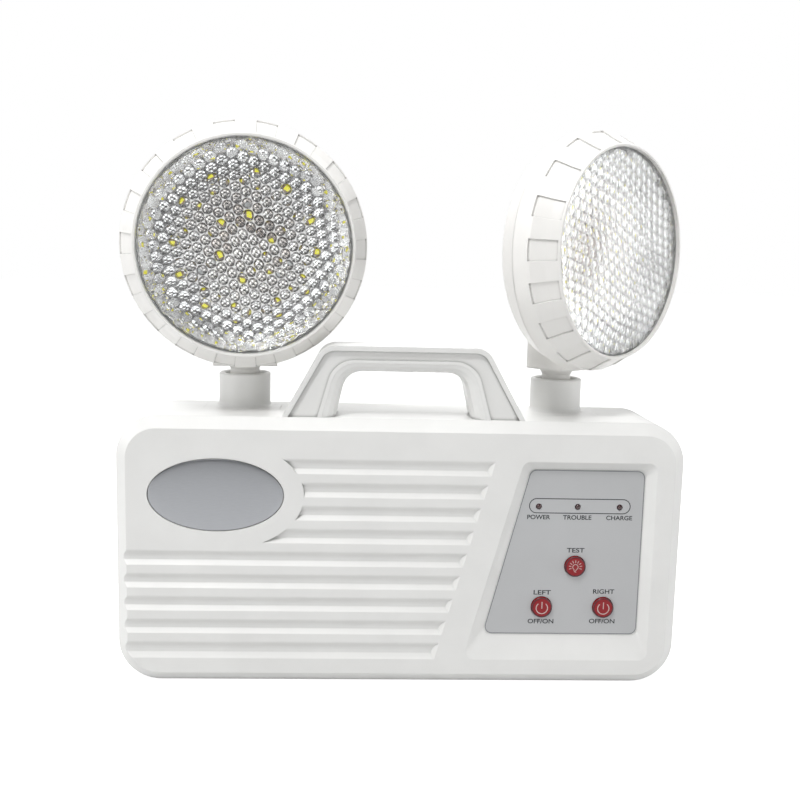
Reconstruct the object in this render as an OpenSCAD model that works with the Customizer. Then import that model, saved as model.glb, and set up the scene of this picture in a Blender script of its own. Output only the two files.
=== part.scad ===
// Twin head emergency light: a wide housing in two shells with a carrying handle,
// and two round lamp heads, each on a ball neck held in a cup on top of the housing.
// Millimetres, +Z up, the face towards -Y. The origin is in the middle of the base.

/* [Housing] */
// Width across the side walls
body_w = 320; // [300:1:360]
// Height of the housing without the handle
body_h = 153.5; // [148:0.5:180]
// Depth from the face to the back
body_d = 71; // [69:0.5:85]
// Radius of the four corners of the front outline
corner_r = 23.5; // [18:0.5:28]
// Chamfer round the face
front_chamfer = 6.4; // [4:0.1:8]
// Chamfer round the back
rear_chamfer = 5.5; // [3:0.1:6]
// Wall thickness of the two shells
wall = 2.6; // [2.2:0.1:3]
// Depth of the joint between the two shells, from the face
parting = 31.5; // [30:0.5:34]
// Length of the lip that locates the rear shell
lip_len = 2.4; // [1.5:0.1:4]
// Clearance round the lip
lip_gap = 0.1; // [0.05:0.05:0.3]

/* [Louvres] */
// Number of decorative grooves
louvre_count = 9; // [4:1:9]
// Spacing of the grooves
louvre_pitch = 13.27; // [12:0.01:14]
// Height of one groove on the face
louvre_h = 8.7; // [6:0.1:9]
// Height of the lowest groove
louvre_last_h = 10.1; // [6:0.1:11]
// Depth of a groove
louvre_depth = 2.05; // [1:0.05:2.5]
// Distance from the top of the housing down to the first groove
louvre_drop = 22.1; // [20:0.1:26]
// Bare margin between the slanted end of the lowest groove and the control recess
louvre_margin = 21.4; // [14:0.1:30]
// Slant of that end from upright, in degrees
louvre_slant = 15.2; // [0:0.1:18]
// Slope of the end wall of a groove, in degrees
louvre_mitre = 52; // [0:1:60]

/* [Badge] */
// Distance of the middle of the oval plate from the side of the housing
badge_side = 55.9; // [54:0.1:65]
// Height of its middle above the base
badge_z = 110; // [100:0.5:112]
// Width of the plate
badge_w = 75; // [60:0.5:80]
// Height of the plate
badge_h = 40.8; // [30:0.2:44]
// Thickness of the plate at its edge
badge_t = 1.2; // [0.8:0.1:1.4]
// Rise of the domed front of the plate
badge_dome = 0.6; // [0.4:0.1:0.8]
// Depth of the seat that the plate lies in
badge_seat = 1.1; // [0.6:0.1:1.3]
// Gap round the plate in its seat
badge_gap = 0.35; // [0.2:0.05:0.6]
// Bare margin between the plate and the ends of the grooves
badge_margin = 11.5; // [8:0.1:13]

/* [Control recess] */
// Height of the lower edge of the recess
recess_z0 = 16; // [14:0.5:20]
// Height of the upper edge
recess_z1 = 131; // [124:0.5:134]
// Distance of its right edge from the side of the housing
recess_side = 16.8; // [15:0.1:20]
// Bare width of the recess to the left of the first indicator, at its lower edge
recess_bare = 40.2; // [34:0.1:42]
// Sideways run of its left edge
recess_lean = 30.4; // [23:0.1:32]
// Radius of the recess corners at the face
recess_r = 5; // [3:0.1:7]
// Depth of the recess floor
recess_depth = 4.5; // [3:0.1:5.5]
// Width of the sloping wall at the top
recess_top_slope = 4.2; // [3:0.1:6]
// Width of the sloping wall at the bottom
recess_bottom_slope = 12.8; // [8:0.1:14]
// Width of the sloping wall at each side
recess_side_slope = 5; // [3:0.1:6]
// Thickness of the printed label
label_t = 0.4; // [0.2:0.1:0.6]
// Gap between the label and the recess walls
label_gap = 0.5; // [0.2:0.1:1]
// Radius of the label corners
label_r = 4; // [2:0.1:6]

/* [Indicators and buttons] */
// Distances of the three indicators from the right edge of the recess
led_side = [65.6, 43.3, 19.2];
// Height of the indicators
led_z = 104.9; // [100:0.1:110]
// Diameter of an indicator
led_d = 3; // [3:0.1:5]
// How far an indicator stands out of the label
led_out = 0.9; // [0.5:0.1:1.5]
// Gap round an indicator in the recess floor
led_gap = 0.25; // [0.1:0.05:0.5]
// Distance of the test button from the right edge of the recess
test_side = 43.3; // [38:0.1:48]
// Height of the test button
test_z = 70.1; // [66:0.1:74]
// Distance of the button of the left lamp from that edge
left_side = 61.6; // [57:0.1:65]
// Distance of the button of the right lamp from that edge
right_side = 25.9; // [21:0.1:31]
// Height of the two lamp buttons
lamp_button_z = 45.7; // [42:0.1:50]
// Diameter of a button cap
cap_d = 11.8; // [9:0.1:14]
// How far a cap stands out of the label
cap_out = 1.7; // [1.2:0.1:2.5]
// Gap round a cap in the recess floor
cap_gap = 0.3; // [0.2:0.05:0.5]
// Rim width of the flange that holds a cap in
cap_flange = 1.5; // [1:0.1:2]
// Thickness of that flange
cap_flange_t = 1.2; // [0.8:0.1:1.6]
// Travel of a button
button_travel = 0.9; // [0.5:0.1:1]
// Size of a push switch across its square body
switch_w = 6; // [5:0.1:7]
// Height of a push switch
switch_h = 3; // [2.6:0.1:3.5]
// Diameter of the pusher that goes into the switch
pusher_d = 3.4; // [2.5:0.1:3.8]
// Running clearance round the pusher
pusher_gap = 0.1; // [0.05:0.01:0.1]

/* [Handle] */
// Setback of the handle front from the face
handle_y0 = 6.5; // [6:0.1:12]
// Rise of the handle above the housing
handle_rise = 40.3; // [32:0.1:50]
// Half width of the handle at its foot
handle_half = 68.3; // [64:0.1:68.8]
// Inward lean of each side over the whole rise
handle_lean = 22.6; // [16:0.1:26]
// Corner radius of the outer outline
handle_r = 11; // [8:0.5:14]
// Half width of the finger opening at its foot
grip_half = 38.6; // [34:0.1:42]
// Inward lean of the opening over its height
grip_lean = 5.9; // [3:0.1:8]
// Height of the finger opening
grip_h = 25.8; // [22:0.1:34]
// Corner radius of the opening
grip_r = 11; // [8:0.5:12]
// Width of the raised rim along the outer edge
handle_rim = 2.8; // [2:0.1:4]
// Depth of the web between the rims
web_depth = 2; // [1:0.1:3]
// Width of the rounded inner rim over the opening
grip_rim = 6.7; // [5:0.1:8]
// Width of the rounded inner rim at its foot
grip_rim_foot = 10.2; // [8:0.1:11]
// Depth over which the inner rim rounds back
grip_round = 6; // [3:0.1:8]
// Thickness of the plate that closes the handle behind
handle_back = 2.6; // [2:0.1:4]

/* [Cups and necks] */
// Sideways place of each lamp head, from the middle
cup_x = 93.9; // [91:0.1:97]
// Depth of the cup axis from the face
cup_y = 52.8; // [50:0.1:53]
// Outer diameter of a cup
cup_d = 30.5; // [30:0.1:31]
// Height of a cup above the housing
cup_h = 19.75; // [18:0.25:22]
// Bore of a cup
cup_bore = 24.5; // [24:0.1:25]
// Half width of the tongue that carries the front half of a cup
tongue_half = 22.1; // [20:0.1:24]
// Height of the ball centre above the top of the housing
ball_z = 4.7; // [4:0.1:6]
// Diameter of the ball on a neck
ball_d = 22; // [21:0.1:22]
// Running clearance of the ball in its bush
ball_gap = 0.05; // [0.03:0.01:0.1]
// Running clearance of the bush in the cup
bush_gap = 0.06; // [0.03:0.01:0.1]
// Rise of the bush above the ball centre
bush_up = 4.5; // [4:0.1:5]
// Drop of the bush below the ball centre
bush_down = 9; // [8:0.1:9.5]
// End play of the bush in the cup
bush_play = 0.15; // [0.1:0.05:0.3]
// Width of the ledge that holds the bush down
ledge_w = 1; // [0.6:0.1:1.2]
// Height of that ledge
ledge_h = 1.8; // [1:0.1:3]
// Thickness of the floor under the bush
cup_floor = 3; // [2:0.1:4]
// Diameter of the wire hole in that floor
cup_wire_d = 14; // [13:0.5:15]
// Chamfer of the cup rim
cup_chamfer = 0.8; // [0.5:0.1:1.2]
// Radius of the fillet at the foot of a cup
cup_fillet = 2; // [1:0.1:3]
// Diameter of the neck stem
stem_d = 17.3; // [16:0.1:17.5]
// Diameter of the flange at the top of the neck
flange_d = 22; // [19:0.1:23]
// Height of the conical flange
flange_h = 3.8; // [3:0.1:4]
// Diameter of the threaded spigot above the flange
spigot_d = 10; // [9:0.1:10]
// Length of the spigot
spigot_len = 10.5; // [9:0.1:14]
// Diameter of the wire bore through the neck
wire_bore = 5.6; // [4:0.1:6]
// Width of the neck nut across its flats
nut_af = 13; // [12:0.5:13]
// Height of the neck nut
nut_h = 4; // [3:0.1:6]

/* [Lamp heads] */
// Height of the lowest point of the bezel above the ball centre
head_gap = 21.2; // [20:0.1:27]
// Distance of the lens from the neck axis
head_front = 43.7; // [42:0.1:46]
// Turn of the left head at rest, towards the middle, in degrees
left_pan_angle = 6.7; // [0:0.1:10]
// Dip of the left head at rest, in degrees
left_dip_angle = 2.4; // [0:0.1:3]
// Turn of the right head at rest, outwards, in degrees
right_pan_angle = 41.5; // [0:0.1:60]
// Diameter of the seat that holds the lens flange
seat_d = 121.2; // [120.8:0.1:121.8]
// Width of the lip that holds the lens in its seat
lip_hold = 1.9; // [1.7:0.1:5]
// Width of the flat face of that lip
lip_w = 1.2; // [0.8:0.1:1.8]
// Wall of the bezel round the lens seat, behind its front cone
seat_wall = 3; // [2.9:0.1:3.9]
// Outward run of the side from that cone to the ring where it straightens
bezel_flare = 4.4; // [4:0.1:4.9]
// Depth of the ring where the side of the bezel straightens
bezel_mid = 14; // [13:0.25:14.5]
// Outward run of the side from that ring to the rear edge
bezel_taper = 1; // [0.5:0.1:1.5]
// Depth at which the front cone of the bezel ends
bezel_chamfer = 7; // [6.5:0.1:8]
// Length of the bezel from lip to rear edge
bezel_len = 24.4; // [23.5:0.1:27]
// Wall thickness of the bezel
bezel_wall = 2.3; // [1.8:0.1:2.4]
// Number of grip notches round the bezel
notch_count = 18; // [10:1:24]
// Angle that one notch covers, in degrees
notch_angle = 10; // [6:0.5:11]
// Depth of a notch in the wall
notch_sink = 1; // [0.5:0.1:1.1]
// Distance of a notch from the lip
notch_start = 1.2; // [0.8:0.1:2]
// Depth at which a notch ends
notch_len = 15.25; // [15:0.25:17]
// Depth of the lens seat behind the lip
seat_depth = 4.9; // [4.8:0.1:5.4]
// Distance of the lens face behind the lip
lens_inset = 2; // [1.5:0.1:2.5]
// Thickness of the lens
lens_t = 2.4; // [1.8:0.1:2.6]
// Thickness of the lens flange
lens_flange = 1.6; // [1.4:0.1:2]
// Width of the rim wall of the lens
lens_rim = 2; // [1.5:0.1:2.5]
// Thickness of the seal behind the lens
seal_t = 1.4; // [1:0.1:2]
// Gap round the lens in the bezel
lens_gap = 0.3; // [0.1:0.1:0.5]
// Depth of the reflector floor behind the lip
reflector_floor = 23.5; // [21:0.1:24]
// Thickness of the reflector
reflector_t = 1; // [0.8:0.1:1.4]
// Distance of the edge of the reflector floor from the wall of the lens seat
reflector_run = 10.6; // [8.6:0.1:12.6]
// Thickness of the lamp circuit board
led_board_t = 1.6; // [1:0.1:2]
// Radii of the two rings of light emitters, as shares of the radius of the reflector floor
ring_share = [0.334, 0.752];
// Number of emitters in each ring
ring_n = [6, 12];
// Angle of the first emitter in each ring, in degrees
ring_turn = [35, 5];
// Width of an emitter
chip_w = 3.5; // [2.8:0.1:4]
// Height of an emitter
chip_h = 0.9; // [0.6:0.1:1]
// Diameter of the reflector hole round an emitter
chip_hole = 6.4; // [6:0.1:7]
// Wall thickness of the back shell
shell_wall = 2.4; // [2:0.1:3]
// Depth of the widest part of the back shell
dome_start = 32.8; // [30:0.1:34]
// Step from the rear edge of the bezel down to the back shell
dome_step = 3.6; // [2.5:0.1:4.5]
// Depth of the flat back of the shell
dome_depth = 47; // [45:0.5:50]
// Diameter of the flat back
dome_flat_d = 62; // [50:0.5:70]
// Length of the spigot that the bezel turns onto
collar_len = 5.5; // [4:0.1:6]
// Wall thickness of that spigot
collar_t = 2; // [1.5:0.1:2.5]
// Width of the block that takes the neck
block_w = 37; // [34:0.5:42]
// Reach of the block behind the neck axis
block_rear = 9.8; // [9.6:0.1:12]
// Bottom wall thickness of the block
block_floor = 3; // [2.4:0.1:4]
// Height of the block bottom above the ball centre
block_z = 21.3; // [21:0.1:23]
// Corner radius of the block
block_r = 3; // [2:0.1:4]
// Diameter of a board post
post_d = 7; // [6:0.1:8]
// Distance of the board posts from the lamp axis, as a share of the floor's radius
post_share = 0.51; // [0.48:0.01:0.54]

/* [Inside] */
// Distance of the sealed battery from the side of the housing
battery_side = 25; // [24:0.5:34]
// Gap between the feet of the two straps
foot_gap = 0.6; // [0.4:0.1:6]
// Clear depth between the wall behind the grooves and the battery strap
battery_gap = 10.95; // [10.95:0.05:18]
// Height of the battery case
battery_h = 101; // [90:1:106]
// Thickness of the foam behind the battery
pad_t = 4.6; // [4.4:0.1:5]
// Thickness of the steel strap that holds the battery
strap_t = 1.2; // [0.8:0.1:2]
// Width of the strap
strap_w = 16; // [12:1:20]
// Height of the strap above the base
strap_z = 56; // [40:1:80]
// Length of each foot of the strap
strap_foot = 13; // [11:0.5:14]
// Height of the posts that the feet are screwed to
strap_post = 7.5; // [7:0.5:9]
// Gap between the winding and the core
winding_gap = 0.4; // [0.2:0.1:0.6]
// Width of the transformer core
core_w = 48; // [42:1:54]
// Height of the transformer core
core_h = 40; // [34:1:44]
// Stack depth of the core
core_d = 20; // [16:1:24]
// Reach of the winding out of the core, each way
winding_out = 8; // [5:0.5:9]
// Sideways place of the transformer middle
core_x = -12; // [-20:1:-8]
// Height of the transformer above the base
core_z = 10; // [8:1:24]
// Thickness of a circuit board
board_t = 1.6; // [1:0.1:2]
// Distance of the charger board from the side of the housing
charger_side = 30; // [28:0.5:38]
// Height of the charger board
charger_h = 84; // [70:1:90]
// Sideways place of its left edge
charger_left = 26; // [25:0.5:34]
// Height of its lower edge above the base
charger_z = 40; // [34:1:44]
// Standoff height of the charger board
charger_off = 8; // [6:0.5:10]
// Width of the control board
control_w = 66; // [64:0.5:68]
// Lower edge of the control board above the base
control_z0 = 34; // [30:0.5:36]
// Upper edge of the control board
control_z1 = 114; // [112:0.5:118]
// Distance of the control board behind the recess floor
control_off = 5.4; // [5.4:0.1:6.5]
// Diameter of a board standoff
standoff_d = 6; // [5:0.1:7]
// Width of the mains inlet opening, along the depth of the housing
inlet_w = 10; // [9:0.1:11]
// Height of the mains inlet opening
inlet_h = 18; // [16:0.1:20]
// Reach of the mains inlet into the housing
inlet_len = 18; // [14:0.5:20]
// Depth of the socket in the inlet
inlet_socket = 12; // [8:0.5:12]
// Height of the inlet above the base
inlet_z = 32; // [30:0.5:50]
// Depth of the inlet and the fuse holder from the face
inlet_y = 48; // [44:0.5:50]
// Flange width of the inlet round its opening
inlet_flange = 3; // [2:0.1:4]
// Flange thickness of the inlet
inlet_flange_t = 1.5; // [1:0.1:2]
// Contact pin diameter of the inlet
inlet_pin = 2.4; // [2:0.1:3]
// Spacing of the two contact pins
inlet_pin_gap = 8.6; // [8:0.1:10]
// Height of the fuse holder above the base
fuse_z = 58; // [56:0.5:74]
// Diameter of the fuse holder body
fuse_d = 12; // [10:0.1:13]
// Diameter of the fuse holder cap
fuse_cap_d = 15; // [14:0.1:17]
// Reach of the cap out of the side wall
fuse_cap_out = 5; // [3:0.1:7]
// Reach of the fuse holder into the housing
fuse_len = 24; // [20:0.5:26]

/* [Fasteners and wall slots] */
// Distance of the outer case screws from the side
boss_side = 13; // [12:0.1:14]
// Height of the lower case screws
boss_low = 15; // [14:0.1:17]
// Distance of the upper case screws from the top
boss_drop = 16.5; // [15:0.1:18]
// Sideways place of the inner upper case screws
boss_mid = 60; // [58:0.5:62]
// Diameter of a front boss
boss_d = 8; // [7:0.1:9]
// Diameter of a rear boss
rear_boss_d = 10.4; // [9.5:0.1:11]
// Diameter of the screw shank
screw_d = 3.5; // [3:0.1:4]
// Diameter of the screw head
screw_head_d = 6.6; // [6:0.1:7]
// Height of the screw head
screw_head_h = 2.4; // [2:0.1:3]
// Depth of the head seat from the face
screw_seat = 56; // [52:0.5:60]
// Length of a case screw
screw_len = 36; // [30:0.5:40]
// Shank diameter of a small screw
small_d = 2.6; // [2:0.1:3]
// Head diameter of a small screw
small_head_d = 5; // [4.5:0.1:5.6]
// Head height of a small screw
small_head_h = 1.8; // [1.4:0.1:2.2]
// Length of a small screw
small_len = 7; // [6:0.1:8]
// Play round a screw shank
screw_gap = 0.3; // [0.2:0.05:0.5]
// Distance between the two wall slots
keyhole_span = 200; // [180:1:210]
// Height of the wall slots above the base
keyhole_z = 122; // [118:1:126]
// Diameter of the head entry of a wall slot
keyhole_d = 9; // [8:0.1:10]
// Width of the narrow part of a wall slot
keyhole_slot = 4.5; // [4:0.1:5]
// Travel from the entry to the end of the slot
keyhole_rise = 8; // [6:0.5:10]
// Depth of the pocket behind a wall slot
keyhole_pocket = 5; // [4:0.1:6]
// Thickness of the walls of that pocket
keyhole_wall = 1.6; // [1.2:0.1:2]

/* [Parts on the charger board] */
// Length of a capacitor
cap_tall = 20; // [14:0.5:21]
// Diameter of a capacitor
cap_wide = 12; // [8:0.5:13]
// Width of the relay
relay_w = 19; // [15:0.5:20]
// Height of the relay
relay_h = 15; // [12:0.5:16]
// Depth of the relay
relay_d = 15; // [12:0.5:18]
// Width of the heat sink
sink_w = 22; // [18:0.5:24]
// Height of the heat sink
sink_h = 24; // [18:0.5:25]
// Depth of the heat sink
sink_d = 18; // [12:0.5:20]
// Thickness of the heat sink fins
sink_t = 2; // [1.2:0.1:2.4]
// Space between neighbouring parts
part_gap = 10; // [9:0.5:11]
// Height of the capacitors on the board, as a share of the board
cap_row = 0.75; // [0.72:0.01:0.78]
// Height of the relay on the board, as a share of the board
relay_row = 0.62; // [0.6:0.01:0.66]
// Height of the heat sink on the board, as a share of the board
sink_row = 0.22; // [0.2:0.01:0.24]
// Width of the terminal strip
term_w = 40; // [34:0.5:44]
// Height of the terminal strip
term_h = 9; // [7:0.5:9]
// Depth of the terminal strip
term_d = 11; // [9:0.5:13]
// Number of ways in the terminal strip
term_ways = 8; // [4:1:9]
// Diameter of a wire hole in the terminal strip
term_hole = 2.6; // [2:0.1:2.8]
// Width of a battery tab
tab_w = 6.3; // [4.8:0.1:6.5]
// Thickness of a battery tab
tab_t = 0.8; // [0.6:0.1:1]
// Height of a battery tab
tab_h = 7; // [6:0.1:8]

/* [Hidden] */
$fn = 64;
// facets on small and on large rounds
fine = 48;
broad = 128;
// overrun of every cut past the face that it opens
over = 1;
// share of a groove height and depth at each point of its section, top to bottom
louvre_shares = [[0, 0], [0.07, 0.06], [0.14, 0.22], [0.20, 0.46], [0.26, 0.68],
    [0.36, 0.85], [0.50, 0.97], [0.69, 1], [1, 0]];
// share of the rounded rim depth and width at each step, front to back
round_shares = [[0, 1], [0.12, 0.62], [0.42, 0.24], [1, 0]];
// share of the dome depth and width at each step, from the widest ring to the flat back
dome_shares = [[0, 1], [0.12, 0.984], [0.25, 0.943], [0.42, 0.858], [0.6, 0.726], [0.75, 0.572],
    [0.87, 0.4], [0.95, 0.232], [1, 0]];
// share of the badge width that the flat top of its dome has
badge_top = 0.4;
badge_x = body_w / 2 - badge_side;
recess_x1 = body_w / 2 - recess_side;
recess_x0 = recess_x1 - led_side[0] - recess_bare;
recess_x2 = recess_x0 + recess_lean;
louvre_end_x = recess_x0 - louvre_margin;
led_x = [for (a = led_side) recess_x1 - a];
test_x = recess_x1 - test_side;
left_x = recess_x1 - left_side;
right_x = recess_x1 - right_side;
recess_back = recess_depth + wall;
label_y = recess_depth - label_t;
control_y = recess_back + control_off;
control_x = (led_x[0] + led_x[2]) / 2;
top_in = body_h - wall;
ball_height = body_h + ball_z;
cup_top = body_h + cup_h;
bush_bottom = ball_height - bush_down;
bush_top = ball_height + bush_up;
cup_floor_top = bush_bottom - bush_play;
socket_bottom = cup_floor_top - cup_floor;
handle_top = body_h + handle_rise;
handle_rear = parting + handle_back;
charger_y = body_d - wall - charger_off - board_t;
louvre_back = louvre_depth + wall;
battery_back = body_d - wall - pad_t;
battery_d = battery_back - louvre_back - strap_t - battery_gap;
battery_w = body_w / 2 - battery_side - foot_gap - 2 * (strap_t + strap_foot) - core_w / 2 + core_x;
battery_x = battery_side + battery_w / 2 - body_w / 2;
charger_w = body_w / 2 - charger_side - charger_left;
charger_x = charger_left + charger_w / 2;
strap_seat = body_d - wall - strap_post;
core_y0 = body_d - wall - winding_gap / 2 - winding_out - core_d;
// places of the strap screws, as sideways place and height
strap_points = concat(
    [for (a = [-1, 1]) [battery_x + a * (battery_w / 2 + strap_t + strap_foot / 2), strap_z]],
    [for (a = [-1, 1]) [core_x + a * (core_w / 2 + strap_t + strap_foot / 2), core_z + core_w / 12]]
);
// places of the control board screws, as sideways place and height
control_points = [for (a = [-1, 1], z = [control_z0 + standoff_d / 2, control_z1 - standoff_d / 2])
    [control_x + a * (control_w / 2 - standoff_d / 2), z]];
// places of the charger board screws, as sideways place and height
charger_points = [for (a = [-1, 1], z = [standoff_d / 2, charger_h - standoff_d / 2])
    [charger_x + a * (charger_w / 2 - standoff_d / 2), charger_z + z]];
cap_face = label_y - cap_out;
switch_front = control_y - switch_h;
aperture_d = seat_d - 2 * lip_hold;
lip_d = aperture_d + 2 * lip_w;
bezel_front_d = seat_d + 2 * seat_wall;
bezel_mid_d = bezel_front_d + 2 * bezel_flare;
bezel_rear_d = bezel_mid_d + 2 * bezel_taper;
dome_d = bezel_rear_d - 2 * dome_step;
reflector_d = seat_d - 2 * reflector_run;
ring_r = [for (a = ring_share) a * reflector_d / 2];
post_ring = post_share * reflector_d / 2;
lens_z = bezel_rear_d / 2 + head_gap;
lens_back = seat_depth + lens_flange;
// thickness of the slices that a slope is drawn between
slice_t = label_t / 4;
// radius of corners that lie inside another wall
hidden_r = label_t / 4;
// share of the wall that a chamfer loses on its inner side
chamfer_in = 0.41;
// share of the side slope of the recess at its lower and its upper left corner
recess_foot_share = 1.35;
recess_head_share = 0.8;
// how far the rim round the finger opening leans, rounds and flares, as shares of its width
grip_lean_share = 0.4;
grip_round_share = 0.6;
grip_flare = 0.75;
// length and width of a cross slot, as shares of the screw head
slot_long = 0.6;
slot_wide = 0.16;
case_points = [
    [-body_w / 2 + boss_side, boss_low], [body_w / 2 - boss_side, boss_low],
    [-body_w / 2 + boss_side, body_h - boss_drop], [body_w / 2 - boss_side, body_h - boss_drop],
    [-boss_mid, body_h - boss_drop], [boss_mid, body_h - boss_drop]
];

function unit(v) = v / norm(v);

// points of a round corner at b between a and c
function corner_points(a, b, c, r, steps) =
    let (
        u = unit(a - b),
        v = unit(c - b),
        half = acos(u * v) / 2,
        m = b + unit(u + v) * r / sin(half),
        s = b + u * r / tan(half) - m,
        turn = (cross(b - a, c - b) > 0 ? 1 : -1) * (180 - 2 * half)
    )
    [for (i = [0:steps])
        let (t = turn * i / steps)
        m + [s[0] * cos(t) - s[1] * sin(t), s[0] * sin(t) + s[1] * cos(t)]];

// closed outline with every corner rounded to its own radius
function rounded(p, r, steps = 8) =
    [for (i = [0:len(p) - 1])
        each corner_points(p[(i + len(p) - 1) % len(p)], p[i], p[(i + 1) % len(p)], r[i], steps)];

module from_front() {
    translate([0, -body_d / 2, 0]) children();
}

// an outline drawn in x and z, as a plate from depth y0 to depth y1
module plate(points, y0, y1) {
    translate([0, y1, 0]) rotate([90, 0, 0]) linear_extrude(y1 - y0) polygon(points);
}

// a round bar along the depth
module bar(x, z, d, y0, y1, f = fine) {
    translate([x, y0, z]) rotate([-90, 0, 0]) cylinder(d = d, h = y1 - y0, $fn = f);
}

// box with round corners in the front view and a chamfer at each end
module slab(w, h, y0, y1, r, c0, c1) {
    d = y1 - y0;
    translate([0, y0, 0]) {
        rotate([90, 0, 90]) translate([0, 0, -w / 2 + r]) linear_extrude(w - 2 * r)
            polygon([[0, c0], [c0, 0], [d - c1, 0], [d, c1], [d, h - c1], [d - c1, h], [c0, h], [0,
                h - c0]]);
        translate([0, 0, r]) linear_extrude(h - 2 * r)
            polygon([[-w / 2 + c0, 0], [-w / 2, c0], [-w / 2, d - c1], [-w / 2 + c1, d],
                [w / 2 - c1, d], [w / 2, d - c1], [w / 2, c0], [w / 2 - c0, 0]]);
        for (x = [-w / 2 + r, w / 2 - r], z = [r, h - r])
            translate([x, 0, z]) rotate([-90, 0, 0]) rotate_extrude($fn = broad)
                polygon([[0, 0], [r - c0, 0], [r, c0], [r, d - c1], [r - c1, d], [0, d]]);
    }
}

module housing_outer() {
    slab(body_w, body_h, 0, body_d, corner_r, front_chamfer, rear_chamfer);
}

module housing_inner() {
    translate([0, 0, wall]) slab(body_w - 2 * wall, body_h - 2 * wall, wall, body_d - wall,
        corner_r - wall, front_chamfer - wall * chamfer_in, rear_chamfer - wall * chamfer_in);
}

// section of one groove, grown behind by back and up and down by side
module louvre_bar(h, back, side) {
    pts = [for (s = louvre_shares)
        [s[1] * louvre_depth + (s[1] > 0 ? back : 0), -s[0] * h + (s[0] < 0.5 ? side : -side)]];
    translate([-body_w / 2 - over, 0, 0]) rotate([90, 0, 90]) linear_extrude(body_w)
        polygon(concat([[-over, side]], pts, [[-over, -h - side]]));
}

module louvres(back = 0, side = 0) {
    intersection() {
        for (i = [0:louvre_count - 1])
            translate([0, 0, body_h - louvre_drop - i * louvre_pitch])
                louvre_bar(i == louvre_count - 1 ? louvre_last_h : louvre_h, back, side);
        translate([louvre_end_x + side, 0, 0]) rotate([0, louvre_slant, 0]) rotate([0, 0, louvre_mitre])
            translate([-body_w * 2, -body_w, -body_w]) cube([body_w * 2, body_w * 2, body_w * 2]);
        difference() {
            translate([-body_w, -body_w, 0]) cube([body_w * 2, body_w * 2, body_h]);
            plate(badge_field(side), -body_w / 2, body_w / 2);
        }
    }
}

// the bare field round the badge, run out to the left edge
function badge_field(side) =
    let (
        a = badge_w / 2 + badge_margin - side,
        b = badge_h / 2 + badge_margin - side
    )
    concat([for (i = [0:24]) let (t = -90 + i * 7.5) [-badge_x + a * cos(t), badge_z + b * sin(t)]],
        [[-body_w, badge_z + b], [-body_w, badge_z - b]]);

// outline of the recess, drawn in by its slopes times k
function recess_points(k, grow = 0) =
    [[recess_x0 + k * recess_side_slope * recess_foot_share - grow,
        recess_z0 + k * recess_bottom_slope - grow],
     [recess_x1 - k * recess_side_slope + grow, recess_z0 + k * recess_bottom_slope - grow],
     [recess_x1 - k * recess_side_slope + grow, recess_z1 - k * recess_top_slope + grow],
     [recess_x2 + k * recess_side_slope * recess_head_share - grow,
         recess_z1 - k * recess_top_slope + grow]];

function shift_foot(p, dx) = [p[0] + [dx, 0], p[1], p[2], p[3]];

module recess_cut() {
    foot = (recess_x2 - recess_x0) * recess_bottom_slope / (recess_z1 - recess_z0);
    k = over / recess_depth;
    hull() {
        plate(rounded(shift_foot(recess_points(-k), -k * foot), [recess_r, recess_r, recess_r,
            recess_r], 6),
            -over, -over + label_t);
        plate(rounded(shift_foot(recess_points(1), foot), [label_r, label_r, label_r, label_r], 6),
            recess_depth - label_t, recess_depth);
    }
}

module recess_pan() {
    foot = (recess_x2 - recess_x0) * recess_bottom_slope / (recess_z1 - recess_z0);
    hull() {
        plate(rounded(recess_points(0, wall), [recess_r, recess_r, recess_r, recess_r], 6), 0, wall);
        plate(rounded(shift_foot(recess_points(1, wall), foot), [recess_r, recess_r, recess_r,
            recess_r], 6),
            recess_depth, recess_back);
    }
}

function label_points() =
    let (foot = (recess_x2 - recess_x0) * recess_bottom_slope / (recess_z1 - recess_z0))
    rounded(shift_foot(recess_points(1, -label_gap), foot), [label_r, label_r, label_r, label_r], 6);

// outer outline of the handle, drawn in all round by inset
function handle_outline(inset) =
    let (
        lean = handle_lean / handle_rise,
        foot = handle_half - inset * sqrt(1 + lean * lean),
        top = handle_rise - inset,
        low = -wall - over
    )
    rounded([[-foot + lean * low, body_h + low], [foot - lean * low, body_h + low],
        [foot - lean * top, body_h + top], [-foot + lean * top, body_h + top]],
        [hidden_r, hidden_r, handle_r - inset, handle_r - inset]);

// outline round the finger opening, grown by rim at the top and by foot_rim at the foot
function grip_outline(rim, foot_rim, low) =
    let (
        top = grip_h + rim,
        lean = grip_lean / grip_h + (foot_rim - rim) / grip_h * grip_lean_share,
        foot = grip_half + foot_rim
    )
    rounded([[-foot + lean * low, body_h + low], [foot - lean * low, body_h + low],
        [foot - lean * top, body_h + top], [-foot + lean * top, body_h + top]],
        [hidden_r, hidden_r, grip_r + rim * grip_round_share, grip_r + rim * grip_round_share]);

// the flaring cut of the finger opening through the front half of the handle
module grip_cut() {
    for (i = [0:len(round_shares) - 2]) {
        a = round_shares[i];
        b = round_shares[i + 1];
        hull() {
            plate(grip_outline(a[1] * grip_rim * grip_flare, a[1] * grip_rim_foot * grip_flare, 0),
                handle_y0 + a[0] * grip_round - (i == 0 ? over : 0),
                    handle_y0 + a[0] * grip_round + slice_t);
            plate(grip_outline(b[1] * grip_rim * grip_flare, b[1] * grip_rim_foot * grip_flare, 0),
                handle_y0 + b[0] * grip_round, handle_y0 + b[0] * grip_round + slice_t);
        }
    }
    plate(grip_outline(0, 0, 0), handle_y0 + grip_round, handle_rear + over);
}

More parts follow.
